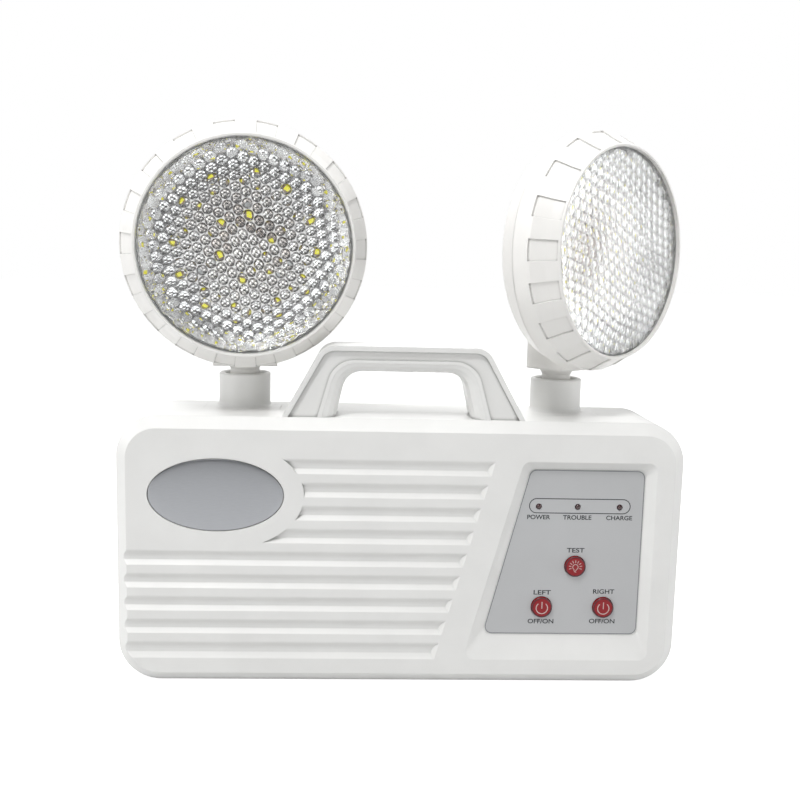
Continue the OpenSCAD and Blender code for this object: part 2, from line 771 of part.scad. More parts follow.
// the raised body of the handle ahead of the joint
module handle_front() {
    difference() {
        plate(handle_outline(0), handle_y0, parting);
        difference() {
            plate(handle_outline(handle_rim), handle_y0 - over, handle_y0 + web_depth);
            plate(grip_outline(grip_rim, grip_rim_foot, -wall * 2), handle_y0 - 2 * over, parting);
        }
        grip_cut();
    }
}

module handle_hollow() {
    difference() {
        plate(handle_outline(wall), handle_y0 + web_depth + wall, parting + over);
        plate(grip_outline(wall, wall, -wall * 2), 0, body_d);
        plate(grip_outline(grip_rim + wall / 4, grip_rim_foot + wall / 4, -wall * 2), 0,
            handle_y0 + grip_round + wall);
    }
}

module cup_solid(front) {
    translate([0, cup_y, 0]) {
        translate([0, 0, socket_bottom])
            cylinder(d = cup_d, h = cup_top - cup_chamfer - socket_bottom, $fn = broad);
        translate([0, 0, cup_top - cup_chamfer])
            cylinder(d1 = cup_d, d2 = cup_d - 2 * cup_chamfer, h = cup_chamfer, $fn = broad);
        if (front)
            translate([0, 0, body_h]) rotate_extrude($fn = broad) difference() {
                translate([cup_d / 2 - cup_chamfer, -wall / 2])
                    square([cup_fillet + cup_chamfer, cup_fillet + wall / 2]);
                translate([cup_d / 2 + cup_fillet, cup_fillet]) circle(r = cup_fillet, $fn = fine);
            }
    }
}

module cup_cut() {
    translate([0, cup_y, 0]) {
        translate([0, 0, cup_floor_top])
            cylinder(d = cup_bore, h = bush_top + bush_play - cup_floor_top, $fn = broad);
        translate([0, 0, cup_floor_top]) cylinder(d = cup_bore - 2 * ledge_w, h = cup_top, $fn = broad);
        translate([0, 0, bush_top + bush_play + ledge_h]) cylinder(d = cup_bore, h = cup_top, $fn = broad);
        translate([0, 0, cup_top - cup_chamfer])
            cylinder(d1 = cup_bore, d2 = cup_bore + 2 * (cup_chamfer + over), h = cup_chamfer + over,
                $fn = broad);
        translate([0, 0, socket_bottom - over]) cylinder(d = cup_wire_d, h = body_h, $fn = broad);
    }
}

// space of the tongue that reaches back to the cup axis
module tongue_space(grow, z0, z1) {
    for (s = [-1, 1])
        translate([s * cup_x - tongue_half - grow, parting - over, z0])
            cube([2 * (tongue_half + grow), cup_y + grow - parting + over, z1 - z0]);
}

module front_shell() {
    color("white") from_front() difference() {
        union() {
            difference() {
                intersection() {
                    housing_outer();
                    union() {
                        translate([-body_w, 0, 0]) cube([body_w * 2, parting, body_h]);
                        tongue_space(0, top_in, body_h);
                    }
                }
                difference() {
                    housing_inner();
                    louvres(wall, wall / 2);
                    recess_pan();
                    for (p = case_points) bar(p[0], p[1], boss_d, 0, parting);
                    for (p = control_points) bar(p[0], p[1], standoff_d, recess_depth, control_y);
                    tongue_space(0, top_in, body_h);
                }
                handle_hollow();
            }
            intersection() {
                for (s = [-1, 1]) translate([s * cup_x, 0, 0]) cup_solid(true);
                translate([-body_w, 0, 0]) cube([body_w * 2, cup_y, cup_top + over]);
            }
            difference() {
                handle_front();
                handle_hollow();
                housing_inner();
            }
            lip();
        }
        louvres();
        recess_cut();
        translate([-badge_x, 0, badge_z]) scale([1, 1,
            (badge_h + 2 * badge_gap) / (badge_w + 2 * badge_gap)])
            bar(0, 0, badge_w + 2 * badge_gap, -over, badge_seat, broad);
        for (p = case_points) bar(p[0], p[1], screw_d,
            parting - (screw_len - (screw_seat - parting)) - over, parting + over);
        for (p = control_points) bar(p[0], p[1], small_d, recess_depth + wall / 2, control_y + over);
        for (x = led_x) bar(x, led_z, led_d + 2 * led_gap, 0, control_y);
        for (p = [[test_x, test_z], [left_x, lamp_button_z], [right_x, lamp_button_z]])
            bar(p[0], p[1], cap_d + 2 * cap_gap, 0, control_y);
        for (s = [-1, 1]) translate([s * cup_x, 0, 0]) cup_cut();
    }
}

// locating lip along the bottom and the sides, inside the rear shell
module lip() {
    t = wall / 2;
    difference() {
        translate([0, 0, t + lip_gap])
            slab(body_w - 2 * t - 2 * lip_gap, body_h - 2 * t - 2 * lip_gap, parting - lip_len,
                parting + lip_len,
                corner_r - t - lip_gap, 0, 0);
        translate([0, 0, wall])
            slab(body_w - 2 * wall - 2 * lip_gap, body_h - 2 * wall, parting - lip_len - over,
                parting + lip_len + over,
                corner_r - wall - lip_gap, 0, 0);
        translate([-body_w, 0, body_h - corner_r]) cube([body_w * 2, body_d, body_h]);
        translate([-body_w, 0, 0]) cube([body_w * 2, parting - lip_len + lip_gap, body_h]);
    }
}

module keyhole_cut() {
    bar(0, 0, keyhole_d, body_d - keyhole_pocket, body_d + over);
    bar(0, keyhole_rise, keyhole_slot, body_d - keyhole_pocket, body_d + over);
    translate([-keyhole_slot / 2, body_d - keyhole_pocket, 0])
        cube([keyhole_slot, keyhole_pocket + over, keyhole_rise]);
    bar(0, keyhole_rise, keyhole_d, body_d - keyhole_pocket, body_d - wall);
    translate([-keyhole_d / 2, body_d - keyhole_pocket, 0])
        cube([keyhole_d, keyhole_pocket - wall, keyhole_rise]);
}

module keyhole_box() {
    w = keyhole_d + 2 * keyhole_wall;
    translate([-w / 2, body_d - keyhole_pocket - keyhole_wall, -w / 2])
        cube([w, keyhole_pocket, w + keyhole_rise]);
}

module rear_shell() {
    color("white") from_front() difference() {
        union() {
            difference() {
                intersection() {
                    housing_outer();
                    translate([-body_w, parting, 0]) cube([body_w * 2, body_d, body_h]);
                }
                difference() {
                    housing_inner();
                    for (p = case_points) bar(p[0], p[1], rear_boss_d, parting, body_d);
                    for (s = [-1, 1]) translate([s * keyhole_span / 2, 0, keyhole_z]) keyhole_box();
                    for (p = charger_points) bar(p[0], p[1], standoff_d, charger_y + board_t, body_d);
                    for (p = strap_points) bar(p[0], p[1], boss_d, strap_seat, body_d);
                }
                tongue_space(lip_gap, top_in - wall, body_h + over);
                difference() {
                    translate([0, 0, wall / 2]) slab(body_w - wall, body_h - wall, parting - over,
                        parting + lip_len + lip_gap, corner_r - wall / 2, 0, 0);
                    translate([-body_w, 0, body_h - corner_r]) cube([body_w * 2, body_d, body_h]);
                }
            }
            intersection() {
                for (s = [-1, 1]) translate([s * cup_x, 0, 0]) cup_solid(false);
                translate([-body_w, cup_y, 0]) cube([body_w * 2, body_d, cup_top + over]);
            }
            difference() {
                plate(handle_outline(0), parting, handle_rear);
                translate([-body_w, 0, 0]) cube([body_w * 2, body_d, top_in]);
                plate(grip_outline(0, 0, 0), parting - over, handle_rear + over);
            }
        }
        for (p = case_points) {
            bar(p[0], p[1], screw_d + 2 * screw_gap, parting - over, body_d + over);
            bar(p[0], p[1], screw_head_d + 2 * screw_gap, screw_seat, body_d + over);
        }
        for (s = [-1, 1]) translate([s * keyhole_span / 2, 0, keyhole_z]) keyhole_cut();
        for (p = charger_points) bar(p[0], p[1], small_d, charger_y, body_d - wall);
        for (p = strap_points) bar(p[0], p[1], small_d, strap_seat - over, body_d - wall);
        translate([body_w / 2 - wall - over, inlet_y - inlet_w / 2, inlet_z - inlet_h / 2])
            cube([wall + 2 * over, inlet_w, inlet_h]);
        translate([body_w / 2 - wall - over, inlet_y, fuse_z]) rotate([0, 90, 0])
            cylinder(d = fuse_d, h = wall + 2 * over, $fn = fine);
        for (s = [-1, 1]) translate([s * cup_x, 0, 0]) cup_cut();
    }
}

module badge_plate() {
    color("silver") from_front() translate([-badge_x, 0, badge_z]) scale([1, 1, badge_h / badge_w]) {
        bar(0, 0, badge_w, badge_seat - badge_t, badge_seat, broad);
        translate([0, badge_seat - badge_t, 0]) rotate([90, 0, 0])
            cylinder(d1 = badge_w, d2 = badge_w * badge_top, h = badge_dome, $fn = broad);
    }
}

module control_label() {
    color("silver") from_front() difference() {
        plate(label_points(), label_y, recess_depth);
        for (x = led_x) bar(x, led_z, led_d + 2 * led_gap, 0, body_d);
        for (p = [[test_x, test_z], [left_x, lamp_button_z], [right_x, lamp_button_z]])
            bar(p[0], p[1], cap_d + 2 * cap_gap, 0, body_d);
    }
}

module indicator_leds() {
    color("red") from_front() for (x = led_x) {
        translate([x, label_y - led_out + led_d / 2, led_z]) {
            sphere(d = led_d, $fn = fine);
            rotate([-90, 0, 0]) cylinder(d = led_d, h = control_y - label_y + led_out - led_d / 2,
                $fn = fine);
        }
        bar(x, led_z, led_d + 4 * led_gap, control_y - board_t, control_y);
    }
}

module control_board() {
    color("green") from_front() difference() {
        translate([control_x - control_w / 2, control_y, control_z0])
            cube([control_w, board_t, control_z1 - control_z0]);
        for (p = control_points) bar(p[0], p[1], small_d + screw_gap, 0, body_d);
    }
}

module button_switches() {
    color("black") from_front() for (p = [[test_x, test_z], [left_x, lamp_button_z], [right_x,
        lamp_button_z]])
        difference() {
            translate([p[0] - switch_w / 2, switch_front, p[1] - switch_w / 2])
                cube([switch_w, switch_h, switch_w]);
            bar(p[0], p[1], pusher_d + 2 * pusher_gap, switch_front - over, control_y - wall / 4);
        }
}

module button(x, z) {
    from_front() {
        translate([x, cap_face, z]) rotate([-90, 0, 0]) {
            cylinder(d1 = cap_d - cap_out, d2 = cap_d, h = cap_out / 2, $fn = broad);
            translate([0, 0, cap_out / 2])
                cylinder(d = cap_d, h = recess_back + bush_play - cap_face - cap_out / 2, $fn = broad);
        }
        bar(x, z, cap_d + 2 * cap_gap + 2 * cap_flange, recess_back + bush_play,
            recess_back + bush_play + cap_flange_t, broad);
        bar(x, z, pusher_d, recess_back + bush_play, control_y - wall / 4 - button_travel - bush_play);
    }
}

module test_button() {
    color("red") button(test_x, test_z);
}

module left_button() {
    color("red") button(left_x, lamp_button_z);
}

module right_button() {
    color("red") button(right_x, lamp_button_z);
}

module charger_board() {
    color("green") from_front() difference() {
        translate([charger_x - charger_w / 2, charger_y, charger_z]) cube([charger_w, board_t, charger_h]);
        for (p = charger_points) bar(p[0], p[1], small_d + screw_gap, 0, body_d);
    }
}

module board_components() {
    color("gray") from_front() {
        for (i = [0, 1])
            bar(charger_x - charger_w / 4 + i * (cap_wide + part_gap / 2),
                charger_z + charger_h * cap_row, cap_wide,
                charger_y - cap_tall, charger_y);
        translate([charger_x + part_gap, charger_y - relay_d, charger_z + charger_h * relay_row])
            cube([relay_w, relay_d, relay_h]);
        for (i = [0:4])
            translate([charger_x - charger_w / 4 + i * (sink_w - sink_t) / 4, charger_y - sink_d,
                charger_z + charger_h * sink_row]) cube([sink_t, sink_d, sink_h]);
        translate([charger_x - charger_w / 4, charger_y - sink_t, charger_z + charger_h * sink_row])
            cube([sink_w, sink_t, sink_h]);
    }
}

module terminal_block() {
    color("green") from_front() difference() {
        translate([charger_x + part_gap / 2, charger_y - term_d, charger_z + part_gap])
            cube([term_w, term_d, term_h]);
        for (i = [0:term_ways - 1])
            translate([charger_x + part_gap / 2 + (i + 0.5) * term_w / term_ways, charger_y - term_d / 3,
                charger_z + part_gap - over]) cylinder(d = term_hole, h = term_h / 2 + over, $fn = fine);
    }
}

// a bent steel strip round the front of a box of width w, with a foot at each side
module strap(x, z, w, y0, y1, wide, foot) {
    v = w + 2 * strap_t;
    difference() {
        translate([x, 0, z - wide / 2]) {
            translate([-v / 2, y0 - strap_t, 0]) cube([v, strap_t, wide]);
            for (a = [-v / 2, v / 2 - strap_t]) translate([a, y0 - strap_t, 0])
                cube([strap_t, y1 - y0 + strap_t, wide]);
            translate([-v / 2 - foot, y1 - strap_t, 0]) cube([foot + strap_t, strap_t, wide]);
            translate([v / 2 - strap_t, y1 - strap_t, 0]) cube([foot + strap_t, strap_t, wide]);
        }
        for (a = [-1, 1]) bar(x + a * (v / 2 + foot / 2), z, small_d + screw_gap, 0, body_d);
    }
}

module transformer_core() {
    color("gray") from_front() translate([core_x - core_w / 2, core_y0, core_z]) difference() {
        cube([core_w, core_d, core_h]);
        for (x = [core_w / 6, core_w * 4 / 6])
            translate([x, -over, core_w / 6]) cube([core_w / 6, core_d + 2 * over, core_h - core_w / 3]);
    }
}

module transformer_winding() {
    color("yellow") from_front() difference() {
        translate([core_x - core_w / 3 + winding_gap, core_y0 - winding_out,
            core_z + core_w / 6 + winding_gap])
            cube([core_w * 2 / 3 - 2 * winding_gap, core_d + 2 * winding_out,
                core_h - core_w / 3 - 2 * winding_gap]);
        translate([core_x - core_w / 6 - winding_gap, core_y0 - winding_gap, core_z])
            cube([core_w / 3 + 2 * winding_gap, core_d + 2 * winding_gap, core_h]);
    }
}

module transformer_bracket() {
    color("silver") from_front()
        strap(core_x, core_z + core_w / 12, core_w, core_y0, strap_seat, core_w / 6, strap_foot);
}

module battery() {
    color("dimgray") from_front() {
        translate([battery_x - battery_w / 2, battery_back - battery_d, wall])
            cube([battery_w, battery_d, battery_h]);
        for (x = [-1, 1])
            translate([battery_x + x * battery_w / 3 - tab_w / 2, battery_back - battery_d / 2,
                wall + battery_h - over])
                cube([tab_w, tab_t, tab_h + over]);
    }
}

module battery_pad() {
    color("black") from_front()
        translate([battery_x - battery_w / 2 + part_gap, battery_back, strap_z - battery_w / 3])
        cube([battery_w - 2 * part_gap, pad_t, battery_w * 2 / 3]);
}

module battery_strap() {
    color("silver") from_front()
        strap(battery_x, strap_z, battery_w, battery_back - battery_d, strap_seat, strap_w, strap_foot);
}

module mains_inlet() {
    color("black") from_front() translate([body_w / 2, inlet_y, inlet_z]) {
        difference() {
            union() {
                translate([0, -inlet_w / 2 - inlet_flange, -inlet_h / 2 - inlet_flange])
                    cube([inlet_flange_t, inlet_w + 2 * inlet_flange, inlet_h + 2 * inlet_flange]);
                translate([-inlet_len, -inlet_w / 2 + label_t / 2, -inlet_h / 2 + label_t / 2])
                    cube([inlet_len + inlet_flange_t, inlet_w - label_t, inlet_h - label_t]);
            }
            for (z = [-inlet_pin_gap / 2, inlet_pin_gap / 2])
                translate([inlet_flange_t - inlet_socket, 0, z]) rotate([0, 90, 0])
                    cylinder(d = inlet_w - 2 * inlet_flange_t, h = inlet_socket + over, $fn = fine);
            translate([inlet_flange_t - inlet_socket, -inlet_w / 4, -inlet_pin_gap / 2])
                cube([inlet_socket + over, inlet_w / 2, inlet_pin_gap]);
        }
        for (z = [-inlet_pin_gap / 2, inlet_pin_gap / 2])
            translate([inlet_flange_t - inlet_socket - over, 0, z]) rotate([0, 90, 0])
                cylinder(d = inlet_pin, h = inlet_socket - over, $fn = fine);
    }
}

module fuse_holder() {
    color("black") from_front() translate([body_w / 2, inlet_y, fuse_z]) rotate([0, 90, 0]) {
        difference() {
            cylinder(d = fuse_cap_d, h = fuse_cap_out, $fn = broad);
            translate([-fuse_cap_d / 3, -inlet_flange_t / 2, fuse_cap_out - inlet_flange_t])
                cube([fuse_cap_d * 2 / 3, inlet_flange_t, inlet_flange_t + over]);
        }
        translate([0, 0, -fuse_len]) cylinder(d = fuse_d - label_t, h = fuse_len, $fn = broad);
        translate([0, 0, -wall - cup_floor])
            cylinder(d = fuse_cap_d + inlet_flange, h = cup_floor, $fn = 6);
    }
}

// a pan head screw from its seat at y0 towards the face, with a cross slot
module screw(x, z, y0, d, len, head_d, head_h) {
    bar(x, z, d, y0 - len, y0 + head_h / 2);
    difference() {
        bar(x, z, head_d, y0, y0 + head_h);
        for (a = [[head_d * slot_long, head_d * slot_wide], [head_d * slot_wide, head_d * slot_long]])
            translate([x - a[0] / 2, y0 + head_h / 2, z - a[1] / 2]) cube([a[0], head_h, a[1]]);
    }
}

module case_screws() {
    color("silver") from_front() for (p = case_points)
        screw(p[0], p[1], screw_seat, screw_d, screw_len, screw_head_d, screw_head_h);
}

module board_screws() {
    color("silver") from_front() {
        for (p = control_points)
            screw(p[0], p[1], control_y + board_t, small_d, small_len, small_head_d, small_head_h);
        for (p = charger_points)
            mirror([0, 1, 0]) screw(p[0], p[1], -charger_y, small_d, small_len, small_head_d, small_head_h);
    }
}

module strap_screws() {
    color("silver") from_front() for (p = strap_points)
        mirror([0, 1, 0]) screw(p[0], p[1], -(strap_seat - strap_t), small_d, small_len, small_head_d,
            small_head_h);
}

// puts a head part on its cup: the origin is the ball centre, the lens looks along -Y
module at_head(side, pan, dip = 0) {
    translate([side * cup_x, cup_y - body_d / 2, ball_height]) rotate([dip, 0, pan]) children();
}

// revolves an outline of radius and depth round the lamp axis
module lathe(points) {
    translate([0, -head_front, lens_z]) rotate([-90, 0, 0]) rotate_extrude($fn = broad) polygon(points);
}

module swivel_bush() {
    difference() {
        translate([0, 0, -bush_down])
            cylinder(d = cup_bore - 2 * bush_gap, h = bush_down + bush_up, $fn = broad);
        sphere(d = ball_d + 2 * ball_gap, $fn = broad);
    }
}

module neck() {
    z1 = block_z - flange_h;
    difference() {
        union() {
            intersection() {
                sphere(d = ball_d, $fn = broad);
                translate([-ball_d, -ball_d, -ball_d / 2 + label_t])
                    cube([2 * ball_d, 2 * ball_d, 2 * ball_d]);
            }
            cylinder(d = stem_d, h = z1, $fn = broad);
            translate([0, 0, z1]) cylinder(d1 = stem_d, d2 = flange_d, h = flange_h, $fn = broad);
            translate([0, 0, z1]) cylinder(d = spigot_d, h = flange_h + spigot_len, $fn = fine);
        }
        translate([0, 0, -ball_d])
            cylinder(d = wire_bore, h = ball_d + block_z + spigot_len + over, $fn = fine);
    }
}

module neck_nut() {
    translate([0, 0, block_z + block_floor]) difference() {
        rotate([0, 0, 30]) cylinder(d = nut_af / cos(30), h = nut_h, $fn = 6);
        translate([0, 0, -over]) cylinder(d = spigot_d + lip_gap, h = nut_h + 2 * over, $fn = fine);
    }
}

function dome_points(shrink) =
    [for (s = dome_shares)
        [dome_flat_d / 2 - shrink + (dome_d / 2 - dome_flat_d / 2) * s[1],
         dome_start + (dome_depth - shrink - dome_start) * s[0]]];

module block(inset, z0, up) {
    w = block_w / 2 - inset;
    y0 = -head_front + bezel_len + inset;
    y1 = block_rear - inset;
    translate([0, 0, z0]) linear_extrude(up)
        polygon(rounded([[-w, y0], [w, y0], [w, y1], [-w, y1]],
            [block_r / 3, block_r / 3, block_r - inset / 2, block_r - inset / 2], 6));
}

module back_shell() {
    rear_r = bezel_rear_d / 2;
    in_r = rear_r - bezel_wall - collar_t;
    difference() {
        union() {
            lathe(concat([[0, bezel_len]], [[rear_r, bezel_len]], dome_points(0), [[0, dome_depth]]));
            block(0, block_z, lens_z - block_z - dome_flat_d / 2);
        }
        lathe(concat([[0, bezel_len - over]], [[rear_r - bezel_wall - lens_gap, bezel_len - over]],
            [[rear_r - shell_wall, bezel_len + over]], dome_points(shell_wall),
            [[0, dome_depth - shell_wall]]));
        block(shell_wall, block_z + block_floor,
            lens_z - block_z - block_floor - dome_flat_d / 2 - shell_wall);
        translate([0, 0, block_z - over])
            cylinder(d = spigot_d + lip_gap, h = block_floor + 2 * over, $fn = fine);
    }
    difference() {
        lathe([[in_r, bezel_len - collar_len], [in_r + collar_t - lip_gap, bezel_len - collar_len],
            [in_r + collar_t - lip_gap, bezel_len + collar_t], [in_r, bezel_len + collar_t]]);
        translate([-block_w / 2 - block_r, bezel_len - head_front - block_r, block_z + block_floor])
            cube([block_w + 2 * block_r, head_front, collar_len - block_floor]);
    }
    lathe([[in_r, bezel_len], [rear_r - shell_wall / 2, bezel_len], [rear_r - shell_wall / 2,
        bezel_len + collar_t],
        [in_r, bezel_len + collar_t]]);
    head_posts(post_d, reflector_floor + reflector_t + led_board_t, dome_depth - shell_wall / 2, small_d);
}

module head_posts(d, y0, y1, bore) {
    translate([0, -head_front, lens_z]) for (a = [90, 210, 330])
        translate([post_ring * cos(a), y0, post_ring * sin(a)]) rotate([-90, 0, 0]) difference() {
            cylinder(d = d, h = y1 - y0, $fn = fine);
            translate([0, 0, -over]) cylinder(d = bore, h = small_len + over, $fn = fine);
        }
}

// wall of one grip notch, for turning round the lamp axis
function notch_outline() =
    let (a = lip_d / 2, c = bezel_front_d / 2, m = bezel_mid_d / 2, k = notch_start / bezel_chamfer,
         f = a + (c - a) * k,
             e = m + (bezel_rear_d / 2 - m) * (notch_len - bezel_mid) / (bezel_len - bezel_mid))
    [[f - notch_sink, notch_start], [c - notch_sink, bezel_chamfer], [m - notch_sink, bezel_mid],
     [e - notch_sink, notch_len], [e + bezel_wall, notch_len], [c + bezel_wall, bezel_chamfer],
     [f + bezel_wall, notch_start]];

module bezel() {
    a = aperture_d / 2;
    r = bezel_rear_d / 2;
    deep = seat_depth + lens_flange + seal_t + reflector_t + lens_gap;
    difference() {
        lathe([[a, 0], [lip_d / 2, 0], [bezel_front_d / 2, bezel_chamfer], [bezel_mid_d / 2, bezel_mid],
            [r, bezel_len], [r - bezel_wall, bezel_len], [r - bezel_wall, bezel_len - collar_len - over],
            [bezel_mid_d / 2 - notch_sink - bezel_wall, bezel_mid], [seat_d / 2, deep],
            [seat_d / 2, seat_depth], [a, seat_depth]]);
        translate([0, -head_front, lens_z]) rotate([-90, 0, 0]) for (i = [0:notch_count - 1])
            rotate([0, 0, i * 360 / notch_count - notch_angle / 2])
                rotate_extrude(angle = notch_angle, $fn = broad) polygon(notch_outline());
    }
}

module lens() {
    a = aperture_d / 2 - lens_gap;
    r = seat_d / 2 - lens_gap;
    lathe([[0, lens_inset], [a, lens_inset], [a, seat_depth], [r, seat_depth], [r, lens_back],
        [a - lens_rim, lens_back], [a - lens_rim, lens_inset + lens_t], [0, lens_inset + lens_t]]);
}

module lens_seal() {
    r = seat_d / 2 - lens_gap;
    lathe([[aperture_d / 2, lens_back], [r, lens_back], [r, lens_back + seal_t],
        [aperture_d / 2, lens_back + seal_t]]);
}

module reflector() {
    r = seat_d / 2 - lens_gap;
    y0 = lens_back + seal_t;
    a = aperture_d / 2;
    b = reflector_d / 2;
    difference() {
        lathe([[a, y0], [r, y0], [r, y0 + reflector_t], [a + reflector_t, y0 + reflector_t],
            [b + reflector_t, reflector_floor + reflector_t], [0, reflector_floor + reflector_t],
            [0, reflector_floor], [b, reflector_floor]]);
        emitters() translate([0, 0, -over]) cylinder(d = chip_hole, h = reflector_t + 2 * over, $fn = 24);
        head_holes(small_head_d + lip_gap * 2);
    }
}

module head_holes(d) {
    translate([0, -head_front, lens_z]) for (a = [90, 210, 330])
        translate([post_ring * cos(a), 0, post_ring * sin(a)]) rotate([-90, 0, 0])
            cylinder(d = d, h = dome_start, $fn = fine);
}

// repeats a piece at every emitter, its own +Z pointing away from the lens
module emitters() {
    translate([0, reflector_floor - head_front, lens_z]) rotate([-90, 0, 0])
        for (k = [0:len(ring_r) - 1], i = [0:ring_n[k] - 1])
            rotate([0, 0, ring_turn[k] + i * 360 / ring_n[k]]) translate([ring_r[k], 0, 0]) children();
}

module led_board() {
    y0 = reflector_floor + reflector_t;
    difference() {
        lathe([[0, y0], [reflector_d / 2, y0], [reflector_d / 2, y0 + led_board_t], [0, y0 + led_board_t]]);
        head_holes(small_d + screw_gap);
    }
}

module led_chips() {
    emitters() translate([-chip_w / 2, -chip_w / 2, reflector_t - chip_h]) cube([chip_w, chip_w, chip_h]);
}

module head_screws() {
    y0 = reflector_floor + reflector_t - head_front;
    for (a = [90, 210, 330])
        translate([0, 0, lens_z]) mirror([0, 1, 0])
            screw(post_ring * cos(a), post_ring * sin(a), -y0, small_d, small_len, small_head_d,
                small_head_h);
}

module left_swivel_bush() {
    color("gray") at_head(-1, left_pan_angle) swivel_bush();
}

module left_neck() {
    color("white") at_head(-1, left_pan_angle, left_dip_angle) neck();
}

module left_neck_nut() {
    color("silver") at_head(-1, left_pan_angle, left_dip_angle) neck_nut();
}

module left_back_shell() {
    color("white") at_head(-1, left_pan_angle, left_dip_angle) back_shell();
}

module left_bezel() {
    color("white") at_head(-1, left_pan_angle, left_dip_angle) bezel();
}

module left_lens() {
    color("lightblue") at_head(-1, left_pan_angle, left_dip_angle) lens();
}

module left_lens_seal() {
    color("black") at_head(-1, left_pan_angle, left_dip_angle) lens_seal();
}

module left_reflector() {
    color("silver") at_head(-1, left_pan_angle, left_dip_angle) reflector();
}

module left_led_board() {
    color("white") at_head(-1, left_pan_angle, left_dip_angle) led_board();
}

module left_led_chips() {
    color("yellow") at_head(-1, left_pan_angle, left_dip_angle) led_chips();
}

module left_head_screws() {
    color("silver") at_head(-1, left_pan_angle, left_dip_angle) head_screws();
}

module right_swivel_bush() {
    color("gray") at_head(1, right_pan_angle) swivel_bush();
}

module right_neck() {
    color("white") at_head(1, right_pan_angle) neck();
}

module right_neck_nut() {
    color("silver") at_head(1, right_pan_angle) neck_nut();
}

module right_back_shell() {
    color("white") at_head(1, right_pan_angle) back_shell();
}

module right_bezel() {
    color("white") at_head(1, right_pan_angle) bezel();
}

module right_lens() {
    color("lightblue") at_head(1, right_pan_angle) lens();
}

module right_lens_seal() {
    color("black") at_head(1, right_pan_angle) lens_seal();
}

module right_reflector() {
    color("silver") at_head(1, right_pan_angle) reflector();
}

module right_led_board() {
    color("white") at_head(1, right_pan_angle) led_board();
}

module right_led_chips() {
    color("yellow") at_head(1, right_pan_angle) led_chips();
}

module right_head_screws() {
    color("silver") at_head(1, right_pan_angle) head_screws();
}

front_shell();
rear_shell();
badge_plate();
control_label();
indicator_leds();
control_board();
button_switches();
test_button();
left_button();
right_button();
charger_board();
board_components();
terminal_block();
transformer_core();
transformer_winding();
transformer_bracket();
battery();
battery_pad();
battery_strap();
mains_inlet();
fuse_holder();
case_screws();
board_screws();
strap_screws();
left_swivel_bush();
left_neck();
left_neck_nut();
left_back_shell();
left_bezel();
left_lens();
left_lens_seal();
left_reflector();
left_led_board();
left_led_chips();
left_head_screws();
right_swivel_bush();
right_neck();
right_neck_nut();
right_back_shell();
right_bezel();
right_lens();
right_lens_seal();
right_reflector();
right_led_board();
right_led_chips();
right_head_screws();
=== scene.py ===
"""Looks of the twin head emergency light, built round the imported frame. Metres, +Z up, face towards -Y."""
import math
import bpy
import bmesh
from mathutils import Matrix, Vector, geometry


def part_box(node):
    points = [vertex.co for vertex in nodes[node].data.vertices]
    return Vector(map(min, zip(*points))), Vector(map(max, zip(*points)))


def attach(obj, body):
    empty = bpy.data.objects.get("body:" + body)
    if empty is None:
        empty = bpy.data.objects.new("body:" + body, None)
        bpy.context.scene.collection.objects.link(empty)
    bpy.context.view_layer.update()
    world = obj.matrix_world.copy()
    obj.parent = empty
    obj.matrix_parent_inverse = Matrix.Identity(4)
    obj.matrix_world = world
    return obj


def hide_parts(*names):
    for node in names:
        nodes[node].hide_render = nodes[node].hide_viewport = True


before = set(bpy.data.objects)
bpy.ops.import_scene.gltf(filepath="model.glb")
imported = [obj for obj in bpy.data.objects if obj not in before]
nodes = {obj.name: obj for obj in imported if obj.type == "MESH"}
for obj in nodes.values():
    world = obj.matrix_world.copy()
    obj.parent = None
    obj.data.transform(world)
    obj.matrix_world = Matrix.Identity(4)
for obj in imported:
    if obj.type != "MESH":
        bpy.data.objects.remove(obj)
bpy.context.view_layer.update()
scene = bpy.context.scene
MM = 0.001

# Heads in millimetres: ball centre of a neck, bezel front before it and lens axis above it
CUP_X, CUP_Y, BALL_Z = 93.9, 17.3, 158.2
HEAD_FRONT, HEAD_RISE = 43.7, 90.2
# Side of the housing, turn and dip in degrees of each head at rest
POSE = {"left": (-1, 6.7, 2.4), "right": (1, 41.5, 0.0)}

# Lens in millimetres: radii, then depths behind the bezel front
LENS_R, FLANGE_R = 58.4, 60.3
PATTERN_R = LENS_R - 0.3
FADE_R = LENS_R - 0.6
JOINT_R = LENS_R - 0.4
LENS_FACE, LENS_BACK, SEAT, FLANGE_BACK = 2.0, 4.4, 4.9, 6.5
LENS_SEGMENTS, LENS_RINGS = 480, 124

# Pillows of the lens: spacing, depth of the joints on both faces, turn of the rows and their wave
PILLOW_PITCH = 6.2
BACK_JOINT, FRONT_JOINT = 0.55, 0.9
FRONT_ROUNDNESS = 0.95
ROW_TURN = math.radians(20)
WAVE, WAVE_RUN = 1.2, 11.0
# Share of the lens radius where the joints begin to clear up, and how much they do at the rim, so that the
# painted shade and painted highlight of the pillows fade there
RIM_START, RIM_CLEAR = 0.62, 0.85

BOWL_MIDDLE = Vector((0, 23.5, 0)) * MM
# Painted light: strength of a glow given to the unlit LED chips to brighten them inside the lens
PAINTED_CHIP_GLOW = 0.4


def head_matrix(side):
    """From the middle of a head's bezel front to its place at rest."""
    sign, pan, dip = POSE[side]
    return (Matrix.Translation(Vector((sign * CUP_X, CUP_Y, BALL_Z)) * MM)
            @ Matrix.Rotation(math.radians(pan), 4, "Z") @ Matrix.Rotation(math.radians(dip), 4, "X")
            @ Matrix.Translation(Vector((0, -HEAD_FRONT, HEAD_RISE)) * MM))


